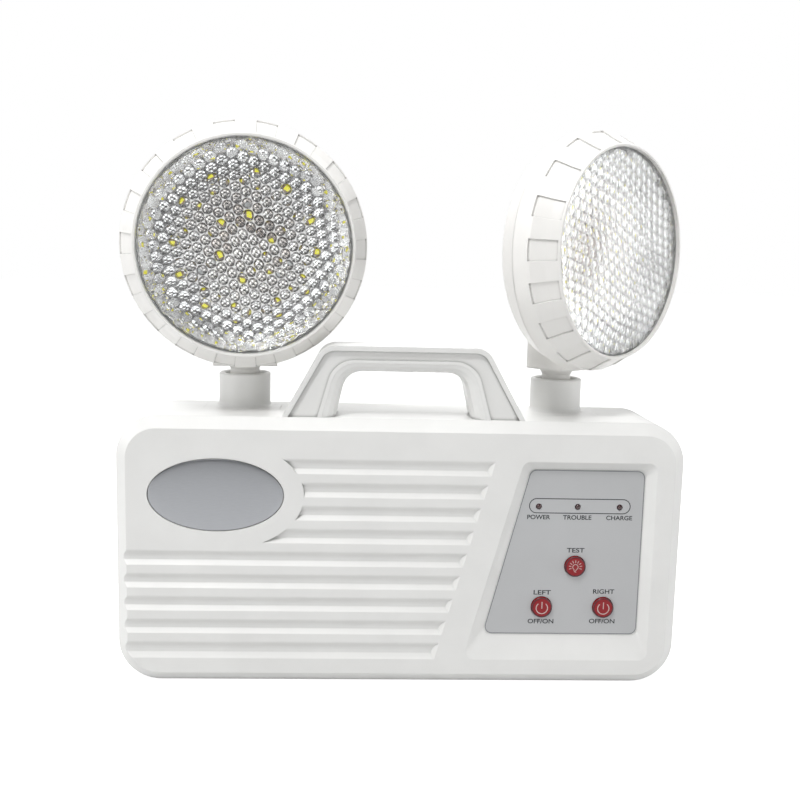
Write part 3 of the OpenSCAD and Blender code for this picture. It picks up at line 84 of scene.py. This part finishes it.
class Mat:
    """A small helper round one node tree."""

    def __init__(self, name):
        self.mat = bpy.data.materials.new(name)
        self.mat.use_nodes = True
        self.tree = self.mat.node_tree
        self.shader = self.tree.nodes["Principled BSDF"]
        self.coord = self.add("ShaderNodeTexCoord").outputs["Object"]

    def add(self, kind, **props):
        node = self.tree.nodes.new(kind)
        for key, value in props.items():
            setattr(node, key, value)
        return node

    def link(self, a, b):
        self.tree.links.new(a, b)

    def noise(self, scale, detail=3.0, rough=0.5, stretch=None):
        node = self.add("ShaderNodeTexNoise")
        node.inputs["Scale"].default_value = scale
        node.inputs["Detail"].default_value = detail
        node.inputs["Roughness"].default_value = rough
        source = self.coord
        if stretch:
            mapping = self.add("ShaderNodeMapping")
            mapping.inputs["Scale"].default_value = stretch
            self.link(source, mapping.inputs["Vector"])
            source = mapping.outputs["Vector"]
        self.link(source, node.inputs["Vector"])
        return node.outputs["Fac"]

    def ramp(self, fac, stops):
        node = self.add("ShaderNodeValToRGB")
        ramp = node.color_ramp
        while len(ramp.elements) < len(stops):
            ramp.elements.new(0.5)
        for element, (place, color) in zip(ramp.elements, stops):
            element.position = place
            element.color = (*color, 1.0)
        self.link(fac, node.inputs["Fac"])
        return node.outputs["Color"]

    def span(self, fac, low, high, start=0.0, stop=1.0):
        """Spread fac from start..stop over low..high."""
        node = self.add("ShaderNodeMapRange")
        node.inputs["From Min"].default_value = start
        node.inputs["From Max"].default_value = stop
        node.inputs["To Min"].default_value = low
        node.inputs["To Max"].default_value = high
        self.link(fac, node.inputs["Value"])
        return node.outputs["Result"]

    def scaled_sum(self, fac, factor, other):
        """fac times factor, plus other."""
        node = self.add("ShaderNodeMath", operation="MULTIPLY_ADD")
        self.link(fac, node.inputs[0])
        node.inputs[1].default_value = factor
        self.link(other, node.inputs[2])
        return node.outputs[0]

    def bump(self, height, strength, distance, normal=None):
        node = self.add("ShaderNodeBump")
        node.inputs["Strength"].default_value = strength
        node.inputs["Distance"].default_value = distance
        self.link(height, node.inputs["Height"])
        if normal:
            self.link(normal, node.inputs["Normal"])
        return node.outputs["Normal"]

    def bevel(self, radius):
        node = self.add("ShaderNodeBevel", samples=6)
        node.inputs["Radius"].default_value = radius
        return node.outputs["Normal"]

    def painted_crevice_shade(self, color, reach):
        """Painted shade: the color made darker where neighbouring faces close in."""
        near = self.add("ShaderNodeAmbientOcclusion", samples=6, only_local=True)
        near.inputs["Distance"].default_value = reach
        mix = self.add("ShaderNodeMix", data_type="RGBA", blend_type="MULTIPLY")
        mix.inputs["Factor"].default_value = 1.0
        self.link(color, mix.inputs["A"])
        self.link(self.span(near.outputs["AO"], 0.5, 1.0, start=0.45, stop=0.76), mix.inputs["B"])
        return mix.outputs["Result"]

    def set(self, **values):
        for key, value in values.items():
            self.shader.inputs[key.replace("_", " ")].default_value = value


def shade(color, k):
    return tuple(min(1.0, c * k) for c in color)


def plastic(name, color, rough=0.42, grain=0.1, bevel=0.5, spread=0.03, specular=0.4, painted_crevice_shade=0.0, glow=None):
    """Moulded plastic: slight mottle, fine grain, edges rounded by bevel mm, and painted shade that darkens
    the colour where faces close in, within the given reach in mm.
    """
    m = Mat(name)
    tone = m.ramp(m.noise(38.0, 4.0), [(0.3, shade(color, 1 - spread)),
                                       (0.7, shade(color, 1 + spread * 0.5))])
    # Painted shade: darken the colour where neighbouring faces close in
    if painted_crevice_shade:
        tone = m.painted_crevice_shade(tone, painted_crevice_shade * MM)
    m.link(tone, m.shader.inputs["Base Color"])
    m.link(m.span(m.noise(160.0, 3.0), rough - 0.05, rough + 0.06), m.shader.inputs["Roughness"])
    normal = m.bevel(bevel * MM) if bevel else None
    m.link(m.bump(m.noise(2600.0, 2.0), grain, 0.02 * MM, normal), m.shader.inputs["Normal"])
    m.set(Specular_IOR_Level=specular)
    # Painted light: the part glows though it is no lamp
    if glow:
        m.set(Emission_Color=(*glow, 1.0), Emission_Strength=PAINTED_CHIP_GLOW)
    return m.mat


def metal(name, color, rough=0.3, stretch=None, spread=0.06):
    """Metal with fine drawn or rolled streaks."""
    m = Mat(name)
    streak = m.noise(300.0, 4.0, 0.6, stretch)
    m.link(m.ramp(streak, [(0.25, shade(color, 1 - spread)), (0.75, shade(color, 1 + spread))]),
           m.shader.inputs["Base Color"])
    m.link(m.span(streak, rough - 0.07, rough + 0.09), m.shader.inputs["Roughness"])
    m.link(m.bump(streak, 0.12, 0.02 * MM, m.bevel(0.2 * MM)), m.shader.inputs["Normal"])
    m.set(Metallic=1.0)
    return m.mat


# White mouldings
WHITE = (0.80, 0.80, 0.785)
# The housing white and the head white carry painted shade where faces close in
body_white = plastic("moulded_white", WHITE, rough=0.38, grain=0.12, bevel=0.6, specular=0.45, painted_crevice_shade=2.5)
rear_white = plastic("rear_white", WHITE, grain=0.14)
# Painted light: the head and dome whites are lighter copies of the housing white, so the heads look more
# brightly lit
head_white_painted_lighter = plastic("head_white_painted_lighter", (0.88, 0.87, 0.845), rough=0.34, grain=0.06, bevel=0.35, specular=0.45,
                     painted_crevice_shade=1.5)
dome_white_painted_lighter = plastic("dome_white_painted_lighter", (0.86, 0.85, 0.825), rough=0.36, grain=0.06, bevel=3.0)

# Control panel and badge
badge_silver = metal("badge_silver", (0.28, 0.287, 0.3), rough=0.34, stretch=(1.0, 1.0, 14.0), spread=0.05)
label_grey = plastic("label_film", (0.485, 0.492, 0.5), rough=0.3, grain=0.03, bevel=0, spread=0.02,
                     specular=0.5)
button_red = plastic("button_red", (0.27, 0.01, 0.015), rough=0.25, grain=0.02, bevel=0.3, spread=0.08,
                     specular=0.25)
led_red = plastic("indicator_red", (0.05, 0.016, 0.018), rough=0.2, grain=0.0, bevel=0, spread=0.2,
                  specular=0.7)
ink = plastic("print_ink", (0.035, 0.038, 0.042), rough=0.5, grain=0.0, bevel=0, spread=0.15, specular=0.3)
# Painted shadow at the edge of the label film
painted_edge_shadow = plastic("label_painted_edge_shadow", (0.2, 0.21, 0.22), rough=0.5, grain=0.0, bevel=0, spread=0.1,
                   specular=0.3)
icon_ink = plastic("icon_ink", (0.62, 0.52, 0.5), rough=0.4, grain=0.0, bevel=0, spread=0.06, specular=0.3)
rim_dark = plastic("button_rim", (0.05, 0.012, 0.02), rough=0.3, grain=0.0, bevel=0, spread=0.2)

# Inside the housing and the heads
black_plastic = plastic("black_plastic", (0.02, 0.02, 0.021), rough=0.4, bevel=0.3, spread=0.1)
board_green = plastic("board_green", (0.03, 0.16, 0.07), rough=0.35, bevel=0, spread=0.15)
battery_grey = plastic("battery_case", (0.07, 0.075, 0.08), rough=0.45, grain=0.2, bevel=0.8)
foam_black = plastic("foam_black", (0.02, 0.02, 0.02), rough=0.9, grain=0.8, bevel=0, spread=0.3)
zinc = metal("zinc_plate", (0.62, 0.63, 0.64), rough=0.32)
iron = metal("core_laminations", (0.2, 0.2, 0.22), rough=0.5, stretch=(1, 30, 1))
tape_yellow = plastic("winding_tape", (0.6, 0.45, 0.1), rough=0.3)
acetal = plastic("acetal", (0.62, 0.62, 0.6), rough=0.35, grain=0.05, bevel=0.2)
seal_grey = plastic("seal_rubber", (0.5, 0.5, 0.5), rough=0.6, grain=0.2, bevel=0, spread=0.1)
lamp_board = plastic("lamp_board", (0.40, 0.30, 0.22), rough=0.5, bevel=0, spread=0.1)
# Yellow LED chips, unlit, given a painted glow
phosphor_painted_glow = plastic("phosphor_painted_glow", (0.97, 0.93, 0.02), rough=0.45, bevel=0, spread=0.05, glow=(0.95, 0.85, 0.02))


def bright_bowl(name, side):
    """Vacuum metallised plastic with hammered facets; their differing tone is painted reflection, and the
    darker brownish cast near the middle is painted reflection too.
    """
    m = Mat(name)
    cells = m.add("ShaderNodeTexVoronoi", feature="F1")
    cells.inputs["Scale"].default_value = 90.0
    cells.inputs["Randomness"].default_value = 0.9
    m.link(m.coord, cells.inputs["Vector"])
    # Painted reflection: each facet a different tone
    tone = m.ramp(cells.outputs["Color"], [(0.2, (0.8, 0.8, 0.81)), (0.4, (0.95, 0.95, 0.95)),
                                           (0.6, (0.97, 0.97, 0.97))])
    # Painted reflection: darker brownish tones near the middle of the bowl
    painted_middle_reflection = m.ramp(cells.outputs["Color"], [(0.3, (0.2, 0.15, 0.12)), (0.5, (0.45, 0.36, 0.3)),
                                           (0.7, (0.9, 0.88, 0.86))])
    away = m.add("ShaderNodeVectorMath", operation="DISTANCE")
    m.link(m.coord, away.inputs[0])
    away.inputs[1].default_value = head_matrix(side) @ BOWL_MIDDLE
    mix = m.add("ShaderNodeMix", data_type="RGBA")
    m.link(m.span(away.outputs["Value"], 0.85, 0.0, start=12 * MM, stop=40 * MM), mix.inputs["Factor"])
    m.link(tone, mix.inputs["A"])
    m.link(painted_middle_reflection, mix.inputs["B"])
    m.link(mix.outputs["Result"], m.shader.inputs["Base Color"])
    m.link(m.span(m.noise(220.0, 2.0), 0.02, 0.05), m.shader.inputs["Roughness"])
    m.link(m.bump(cells.outputs["Distance"], 0.2, 1.2 * MM), m.shader.inputs["Normal"])
    m.set(Metallic=1.0)
    return m.mat


def lens_plastic(name, haze_and_sheen, dark):
    """Clear moulded acrylic: pillow flanks painted dark as shade, the joints between pillows made milky white
    as painted highlight, and a milky white over the whole lens that is partly haze, partly painted sheen.
    """
    m = Mat(name)
    joint = m.add("ShaderNodeAttribute", attribute_name="joint").outputs["Fac"]
    uneven = m.scaled_sum(m.noise(420.0, 2.0), 0.3, joint)
    # Painted shade on the pillow slopes
    painted_flank_shade = m.ramp(uneven, [(0.38, (0.99, 1.0, 1.0)), (0.52, (dark, dark, dark)),
                            (0.74, (dark, dark, dark)), (0.86, (0.97, 0.97, 0.97))])
    m.link(painted_flank_shade, m.shader.inputs["Base Color"])
    m.link(m.span(m.noise(400.0, 2.0), 0.0, 0.015), m.shader.inputs["Roughness"])
    m.link(m.bump(m.noise(500.0, 2.0), 0.05, 0.02 * MM), m.shader.inputs["Normal"])
    # Painted highlight: the joints are made milky white
    painted_joint_highlight = m.scaled_sum(m.noise(75.0, 2.0), 0.35, uneven)
    m.link(m.span(painted_joint_highlight, 1.0 - haze_and_sheen, 0.3, start=0.93, stop=1.1), m.shader.inputs["Transmission Weight"])
    m.set(IOR=1.49)
    return m.mat


bowls = {side: bright_bowl(side + "_bright_bowl", side) for side in POSE}
# Painted sheen: the right lens is a paler copy, with lighter flanks and more haze than the left
lens_clear = {"left": lens_plastic("lens_clear", haze_and_sheen=0.02, dark=0.34),
              "right": lens_plastic("right_lens_clear", haze_and_sheen=0.08, dark=0.75)}

# Material of each node, or of each pair of nodes by the name after left_ and right_
dress = {
    "front_shell": body_white, "rear_shell": rear_white, "badge_plate": badge_silver,
    "control_label": label_grey, "indicator_leds": led_red, "control_board": board_green,
    "button_switches": black_plastic, "test_button": button_red, "left_button": button_red,
    "right_button": button_red, "charger_board": board_green, "board_components": black_plastic,
    "terminal_block": board_green, "transformer_core": iron, "transformer_winding": tape_yellow,
    "transformer_bracket": zinc, "battery": battery_grey, "battery_pad": foam_black, "battery_strap": zinc,
    "mains_inlet": black_plastic, "fuse_holder": black_plastic, "case_screws": zinc, "board_screws": zinc,
    "strap_screws": zinc,
    "swivel_bush": acetal, "neck": head_white_painted_lighter, "neck_nut": zinc, "back_shell": dome_white_painted_lighter,
    "bezel": head_white_painted_lighter, "lens": lens_clear["left"], "lens_seal": seal_grey, "reflector": bowls["left"],
    "right_reflector": bowls["right"], "led_board": lamp_board, "led_chips": phosphor_painted_glow, "head_screws": zinc,
}
for name, obj in nodes.items():
    key = name if name in dress else name.split("_", 1)[1]
    for slot in obj.material_slots:
        slot.material = dress[key]


def piece(name, verts, faces, mat, body, smooth=True, hides=()):
    """A mesh object with its normals put right, riding on a body of the frame."""
    mesh = bpy.data.meshes.new(name)
    mesh.from_pydata(verts, [], faces)
    bm = bmesh.new()
    bm.from_mesh(mesh)
    bmesh.ops.remove_doubles(bm, verts=bm.verts, dist=1e-7)
    bmesh.ops.recalc_face_normals(bm, faces=bm.faces)
    bm.to_mesh(mesh)
    bm.free()
    for poly in mesh.polygons:
        poly.use_smooth = smooth
    mesh.materials.append(mat)
    obj = bpy.data.objects.new(name, mesh)
    scene.collection.objects.link(obj)
    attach(obj, body)
    for node in hides:
        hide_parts(node)
    return obj


def rings_to_faces(rows, segments):
    """Faces between neighbouring rings of points, and one face in the first and the last ring."""
    faces = []
    for a, b in zip(rows, rows[1:]):
        for j in range(segments):
            k = (j + 1) % segments
            faces.append((a + j, b + j, b + k, a + k))
    for row in (rows[0], rows[-1]):
        faces.append(tuple(row + j for j in range(segments)))
    return faces


def pillow(x, z):
    """0 at the middle of a pillow and 1 at the corners where three meet, in slightly wavy rows."""
    x, z = x * math.cos(ROW_TURN) - z * math.sin(ROW_TURN), x * math.sin(ROW_TURN) + z * math.cos(ROW_TURN)
    x, z = x + WAVE * math.sin(z / WAVE_RUN), z + WAVE * math.sin(x / WAVE_RUN)
    row_pitch = PILLOW_PITCH * math.sqrt(3) / 2
    nearest_row = round(z / row_pitch)
    best = math.inf
    for row in (nearest_row - 1, nearest_row, nearest_row + 1):
        shift = PILLOW_PITCH / 2 if row % 2 else 0.0
        column = round((x - shift) / PILLOW_PITCH)
        dx, dz = x - (column * PILLOW_PITCH + shift), z - row * row_pitch
        best = min(best, dx * dx + dz * dz)
    return best / (PILLOW_PITCH * PILLOW_PITCH / 3)


def fade(x, z):
    """1 over the lens and 0 at the rim, within the last millimetre."""
    return min(1.0, max(0.0, FADE_R - math.hypot(x, z)))


def lens_front(x, z):
    return LENS_FACE + FRONT_JOINT * pillow(x, z) ** FRONT_ROUNDNESS * fade(x, z)


def lens_back(x, z):
    return LENS_BACK - BACK_JOINT * pillow(x, z) * fade(x, z)


def lens_mesh(side):
    """Clear moulding with a flange and rows of pillows on both faces."""
    place = head_matrix(side)
    verts, rows = [], []

    def ring(radius, depth):
        rows.append(len(verts))
        for j in range(LENS_SEGMENTS):
            a = 2 * math.pi * j / LENS_SEGMENTS
            x, z = radius * math.cos(a), radius * math.sin(a)
            y = depth(x, z) if callable(depth) else depth
            verts.append(place @ (Vector((x, y, z)) * MM))

    for k in range(1, LENS_RINGS + 1):
        ring(PATTERN_R * k / LENS_RINGS, lens_front)
    ring(LENS_R, LENS_FACE)
    ring(LENS_R, SEAT)
    ring(FLANGE_R, SEAT)
    ring(FLANGE_R, FLANGE_BACK)
    ring(PATTERN_R, FLANGE_BACK)
    for k in range(LENS_RINGS, 0, -1):
        ring(PATTERN_R * k / LENS_RINGS, lens_back)
    obj = piece(f"{side}_lens_pillows", verts, rings_to_faces(rows, LENS_SEGMENTS), lens_clear[side],
                f"{side}_head", hides=[f"{side}_lens"])
    mark_joints(obj, place.inverted())


def mark_joints(obj, to_head):
    """Tell the lens material where the joints between pillows are, fainter towards the rim; the material
    paints shade and highlight from this.
    """
    joint = obj.data.attributes.new("joint", "FLOAT", "POINT")
    for vertex, value in zip(obj.data.vertices, joint.data):
        local = to_head @ vertex.co / MM
        radius = math.hypot(local.x, local.z)
        if radius < JOINT_R:
            rim = max(0.0, radius / LENS_R - RIM_START) / (1.0 - RIM_START)
            value.value = pillow(local.x, local.z) * (1.0 - RIM_CLEAR * rim)


for side in POSE:
    lens_mesh(side)


# Prints on the label and the buttons, in millimetres
PRINT_THICK = 0.03
WORD_LIFT, WORD_THICK, WORD_WEIGHT = 0.02, 0.015, 0.07
CAPITAL_SHARE = 0.729


def strip(name, lines, width, front, mat, body):
    """Thin printed lines on a face towards -Y: each line is a list of points and whether it closes."""
    verts, faces = [], []
    for points, closed in lines:
        base, count = len(verts), len(points)
        for i, (x, z) in enumerate(points):
            before = points[i - 1] if i or closed else points[i]
            after = points[(i + 1) % count] if i < count - 1 or closed else points[i]
            dx, dz = after[0] - before[0], after[1] - before[1]
            size = math.hypot(dx, dz) or 1.0
            nx, nz = -dz / size * width / 2, dx / size * width / 2
            for sx, sy in ((1, 0), (-1, 0), (-1, 1), (1, 1)):
                verts.append(Vector((x + sx * nx, front - PRINT_THICK * (1 - sy), z + sx * nz)) * MM)
        for i in range(count if closed else count - 1):
            a, b = base + 4 * i, base + 4 * ((i + 1) % count)
            for k in range(4):
                faces.append((a + k, a + (k + 1) % 4, b + (k + 1) % 4, b + k))
        if not closed:
            faces.append((base, base + 1, base + 2, base + 3))
            end = base + 4 * (count - 1)
            faces.append((end + 3, end + 2, end + 1, end))
    return piece(name, verts, faces, mat, body, smooth=False)


def on_circle(x, z, r, degrees):
    a = math.radians(degrees)
    return (x + r * math.cos(a), z + r * math.sin(a))


def arc(x, z, r, start, stop, steps):
    return [on_circle(x, z, r, start + (stop - start) * i / steps) for i in range(steps + 1)]


def word(text, x, z, height, width, front):
    """A printed word, centred, with the given height and width in millimetres."""
    curve = bpy.data.curves.new("word", "FONT")
    curve.body = text
    curve.align_x, curve.align_y = "CENTER", "CENTER"
    curve.size = height / CAPITAL_SHARE * MM
    curve.extrude = WORD_THICK * MM
    curve.offset = WORD_WEIGHT * MM
    obj = bpy.data.objects.new("word_%s_%d" % (text.replace("/", "_").lower(), round(x)), curve)
    scene.collection.objects.link(obj)
    bpy.context.view_layer.update()
    stretch = width * MM / obj.dimensions.x
    obj.matrix_world = (Matrix.Translation(Vector((x, front - WORD_LIFT, z)) * MM)
                        @ Matrix.Rotation(math.radians(90), 4, "X") @ Matrix.Diagonal((stretch, 1, 1, 1)))
    curve.materials.append(ink)
    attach(obj, "housing")


# Middle of each button on the panel, in millimetres
BUTTONS = {"test": (99.9, 70.1), "left": (81.6, 45.7), "right": (117.3, 45.7)}
# Each word with the x and z of its middle, its height and its width
WORDS = (
    ("POWER", 77.6, 98.6, 2.6, 13.2), ("TROUBLE", 99.9, 98.6, 2.6, 16.4), ("CHARGE", 124.0, 98.6, 2.6, 15.0),
    ("TEST", 99.9, 79.3, 2.7, 10.2), ("LEFT", 81.6, 54.1, 2.7, 10.0), ("RIGHT", 117.3, 54.9, 2.7, 12.4),
    ("OFF/ON", 81.6, 36.8, 2.7, 15.0), ("OFF/ON", 117.3, 37.1, 2.7, 15.0),
)
# Rounded frame round the three indicators: its ends, height of its middle line, end radius, line width
LAMP_LEFT, LAMP_RIGHT, LAMP_Z, LAMP_R, LAMP_LINE = 72.2, 130, 105.35, 4.15, 0.5
# Line round the label, a painted shadow standing for the shadow gap at the film's edge: share by which it is
# drawn in from the edge, and width
EDGE_INSET, EDGE_LINE = 0.008, 0.4
# Dark ring at the edge of a button cap, and line widths of the marks
CAP_RING_R, CAP_RING_LINE = 5.62, 0.55
BULB_LINE, POWER_LINE = 0.36, 0.48


def label_prints():
    """Words, the frame round the indicators and the painted shadow line along the label's edge."""
    low, high = (Vector(v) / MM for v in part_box("control_label"))
    front = low.y
    for text, x, z, height, width in WORDS:
        word(text, x, z, height, width, front)
    right_end = arc(LAMP_RIGHT - LAMP_R, LAMP_Z, LAMP_R, -90, 90, 16)
    left_end = arc(LAMP_LEFT + LAMP_R, LAMP_Z, LAMP_R, 90, 270, 16)
    strip("lamp_outline", [(right_end + left_end, True)], LAMP_LINE, front, ink, "housing")
    label = nodes["control_label"]
    points = [label.matrix_world @ v.co / MM for v in label.data.vertices]
    flat = [Vector((p.x, p.z)) for p in points if p.y < front + 0.05]
    middle = Vector((low.x + high.x, low.z + high.z)) / 2
    edge = [flat[i] for i in geometry.convex_hull_2d(flat)]
    edge = [p + (middle - p) * EDGE_INSET for p in edge]
    strip("label_edge", [(edge, True)], EDGE_LINE, front, painted_edge_shadow, "housing")


def bulb_mark(x, z):
    """A small lamp with nine rays."""
    lines = [(arc(x, z - 0.1, 1.55, -60, 240, 28), False),
             ([(x - 0.78, z - 1.45), (x - 0.62, z - 2.4), (x - 0.1, z - 3.0), (x + 0.55, z - 3.1)], False),
             ([(x + 0.78, z - 1.45), (x + 0.3, z - 2.1), (x + 0.1, z - 2.5)], False)]
    for k in range(9):
        turn = -20 + 27.5 * k
        lines.append(([on_circle(x, z, 2.4, turn), on_circle(x, z, 3.9, turn)], False))
    return lines


def power_mark(x, z):
    """An open ring with an upright line in its gap."""
    return [(arc(x, z - 0.3, 3.3, 130, 410, 40), False), ([(x, z + 3.4), (x, z - 0.6)], False)]


def button_prints(name):
    x, z = BUTTONS[name]
    body = name + "_button"
    cap_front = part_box(body)[0][1] / MM
    ring = arc(x, z, CAP_RING_R, 0, 360, 60)[:-1]
    strip(body + "_edge", [(ring, True)], CAP_RING_LINE, cap_front, rim_dark, body)
    if name == "test":
        strip("test_icon", bulb_mark(x, z), BULB_LINE, cap_front, icon_ink, body)
    else:
        strip(name + "_icon", power_mark(x, z), POWER_LINE, cap_front, icon_ink, body)


label_prints()
for name in BUTTONS:
    button_prints(name)


def badge():
    """Smooth oval dome over the badge plate: its profile is pairs of width share and depth share."""
    segments, steps = 160, 14
    low, high = (Vector(v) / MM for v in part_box("badge_plate"))
    middle = (low + high) / 2
    wide, depth, tall = (high.x - low.x) / 2, high.y - low.y, (high.z - low.z) / 2
    profile = [(0.02, 1.0)]
    profile += [(k / steps, 0.5 + 0.5 * (1 - (k / steps) ** 2.4) ** 0.8) for k in range(1, steps)]
    profile += [(0.985, 0.52), (0.998, 0.46), (1.0, 0.4), (1.0, 0.0), (0.02, 0.0)]
    verts = []
    for share, height in profile:
        for j in range(segments):
            a = 2 * math.pi * j / segments
            verts.append(Vector((middle.x + wide * share * math.cos(a), high.y - depth * height,
                                 middle.z + tall * share * math.sin(a))) * MM)
    rows = [i * segments for i in range(len(profile))]
    piece("badge_dome", verts, rings_to_faces(rows, segments), badge_silver, "housing",
          hides=["badge_plate"])


badge()


def floor_material():
    """Pale floor, white to the camera, in mirrors and through glass, and dull to all other light."""
    color = (0.6, 0.6, 0.6)
    m = Mat("floor_white")
    tone = m.ramp(m.noise(3.0, 2.0), [(0.2, shade(color, 0.99)), (0.8, color)])
    m.link(tone, m.shader.inputs["Base Color"])
    m.set(Roughness=0.9, Specular_IOR_Level=0.1)
    path = m.add("ShaderNodeLightPath")
    seen = m.add("ShaderNodeMath", operation="ADD")
    m.link(path.outputs["Is Camera Ray"], seen.inputs[0])
    m.link(path.outputs["Is Glossy Ray"], seen.inputs[1])
    seen_at_all = m.add("ShaderNodeMath", operation="ADD", use_clamp=True)
    m.link(seen.outputs[0], seen_at_all.inputs[0])
    m.link(path.outputs["Is Transmission Ray"], seen_at_all.inputs[1])
    glow = m.add("ShaderNodeEmission")
    glow.inputs["Strength"].default_value = 0.88
    glowing = m.add("ShaderNodeAddShader")
    m.link(m.shader.outputs[0], glowing.inputs[0])
    m.link(glow.outputs[0], glowing.inputs[1])
    choose = m.add("ShaderNodeMixShader")
    m.link(seen_at_all.outputs[0], choose.inputs["Fac"])
    m.link(m.shader.outputs[0], choose.inputs[1])
    m.link(glowing.outputs[0], choose.inputs[2])
    m.link(choose.outputs[0], m.tree.nodes["Material Output"].inputs["Surface"])
    return m.mat


def lay_floor(half):
    """A square floor that reaches half metres to each side."""
    corners = [(-half, -half, 0), (half, -half, 0), (half, half, 0), (-half, half, 0)]
    mesh = bpy.data.meshes.new("floor")
    mesh.from_pydata(corners, [], [(0, 1, 2, 3)])
    mesh.materials.append(floor_material())
    floor = bpy.data.objects.new("floor", mesh)
    scene.collection.objects.link(floor)


lay_floor(8)

world = bpy.data.worlds.new("studio")
scene.world = world
world.use_nodes = True
tree = world.node_tree


def world_node(kind):
    return tree.nodes.new(kind)


def white_light(strength):
    """A white background: strength is a number, or the socket that it comes from."""
    node = world_node("ShaderNodeBackground")
    node.inputs["Color"].default_value = (1.0, 1.0, 1.0, 1.0)
    if isinstance(strength, float):
        node.inputs["Strength"].default_value = strength
    else:
        tree.links.new(strength, node.inputs["Strength"])
    return node.outputs[0]


def across(direction_y, start, stop, low, high):
    """Spread the Y of a direction from start..stop over low..high."""
    node = world_node("ShaderNodeMapRange")
    node.inputs["From Min"].default_value = start
    node.inputs["From Max"].default_value = stop
    node.inputs["To Min"].default_value = low
    node.inputs["To Max"].default_value = high
    tree.links.new(direction_y, node.inputs["Value"])
    return node.outputs["Result"]


def for_ray(ray, otherwise, light):
    """The light for rays of one kind, and what the others get."""
    node = world_node("ShaderNodeMixShader")
    tree.links.new(path.outputs[ray], node.inputs["Fac"])
    tree.links.new(otherwise, node.inputs[1])
    tree.links.new(light, node.inputs[2])
    return node.outputs[0]


path = world_node("ShaderNodeLightPath")
direction = world_node("ShaderNodeSeparateXYZ")
tree.links.new(world_node("ShaderNodeTexCoord").outputs["Generated"], direction.inputs[0])
# Mirrors see a room that darkens towards the front, and lenses a bright one with a dark spot straight ahead
mirrored = white_light(across(direction.outputs["Y"], -0.35, 0.25, 0.22, 1.0))
through_lens = white_light(across(direction.outputs["Y"], -0.96, -0.92, 0.02, 1.0))
shown = for_ray("Is Glossy Ray", white_light(0.255), mirrored)
shown = for_ray("Is Transmission Ray", shown, through_lens)
shown = for_ray("Is Camera Ray", shown, white_light(1.0))
tree.links.new(shown, tree.nodes["World Output"].inputs["Surface"])


def softbox(name, place, target, size, power):
    """A rectangular lamp: place, aim and size in metres, power in watts."""
    light = bpy.data.lights.new(name, "AREA")
    light.shape = "RECTANGLE"
    light.size, light.size_y = size
    light.energy = power
    obj = bpy.data.objects.new(name, light)
    obj.location = place
    obj.rotation_euler = (Vector(target) - Vector(place)).to_track_quat("-Z", "Y").to_euler()
    scene.collection.objects.link(obj)


softbox("top_box", (-0.15, 0.05, 1.6), (0, 0, 0.15), (1.4, 1.1), 11.4)
softbox("rear_box", (0.0, 1.4, 0.9), (0, 0, 0.15), (1.4, 0.5), 5)
softbox("left_box", (-1.7, 0.0, 0.9), (0, 0, 0.2), (0.8, 1.0), 7.3)
softbox("right_box", (1.5, -0.25, 0.45), (0.1, 0, 0.25), (0.35, 1.0), 6)
softbox("front_box", (-0.5, -1.0, 1.85), (0, 0, 0.15), (0.5, 0.5), 18.5)
softbox("left_low_box", (-1.6, -1.0, 0.3), (0, 0, 0.2), (0.5, 0.6), 5)
softbox("low_box", (0.9, -1.5, 0.2), (0, 0, 0.15), (0.9, 0.5), 3)

# Camera as fitted to the photo: place in millimetres, turn in degrees, focal length in pixels
EYE = Vector((-27.3457, -568.694, 241.513)) * MM
YAW, DIP, ROLL = (math.radians(a) for a in (2.614, 8.143, -1.391))
FOCAL_PX, PICTURE_PX, SENSOR_MM = 978.126, 800, 36.0


def place_camera():
    forward = Vector((math.sin(YAW) * math.cos(DIP), math.cos(YAW) * math.cos(DIP), -math.sin(DIP)))
    right = Vector((math.cos(YAW), -math.sin(YAW), 0))
    up = right.cross(forward)
    rolled_right = math.cos(ROLL) * right - math.sin(ROLL) * up
    rolled_up = math.sin(ROLL) * right + math.cos(ROLL) * up
    camera = bpy.data.cameras.new("camera")
    camera.sensor_width = SENSOR_MM
    camera.lens = FOCAL_PX / PICTURE_PX * SENSOR_MM
    camera.clip_start = 0.01
    eye = bpy.data.objects.new("camera", camera)
    basis = Matrix((rolled_right, rolled_up, -forward)).transposed().to_4x4()
    eye.matrix_world = Matrix.Translation(EYE) @ basis
    scene.collection.objects.link(eye)
    scene.camera = eye


place_camera()
scene.view_settings.view_transform = "Standard"
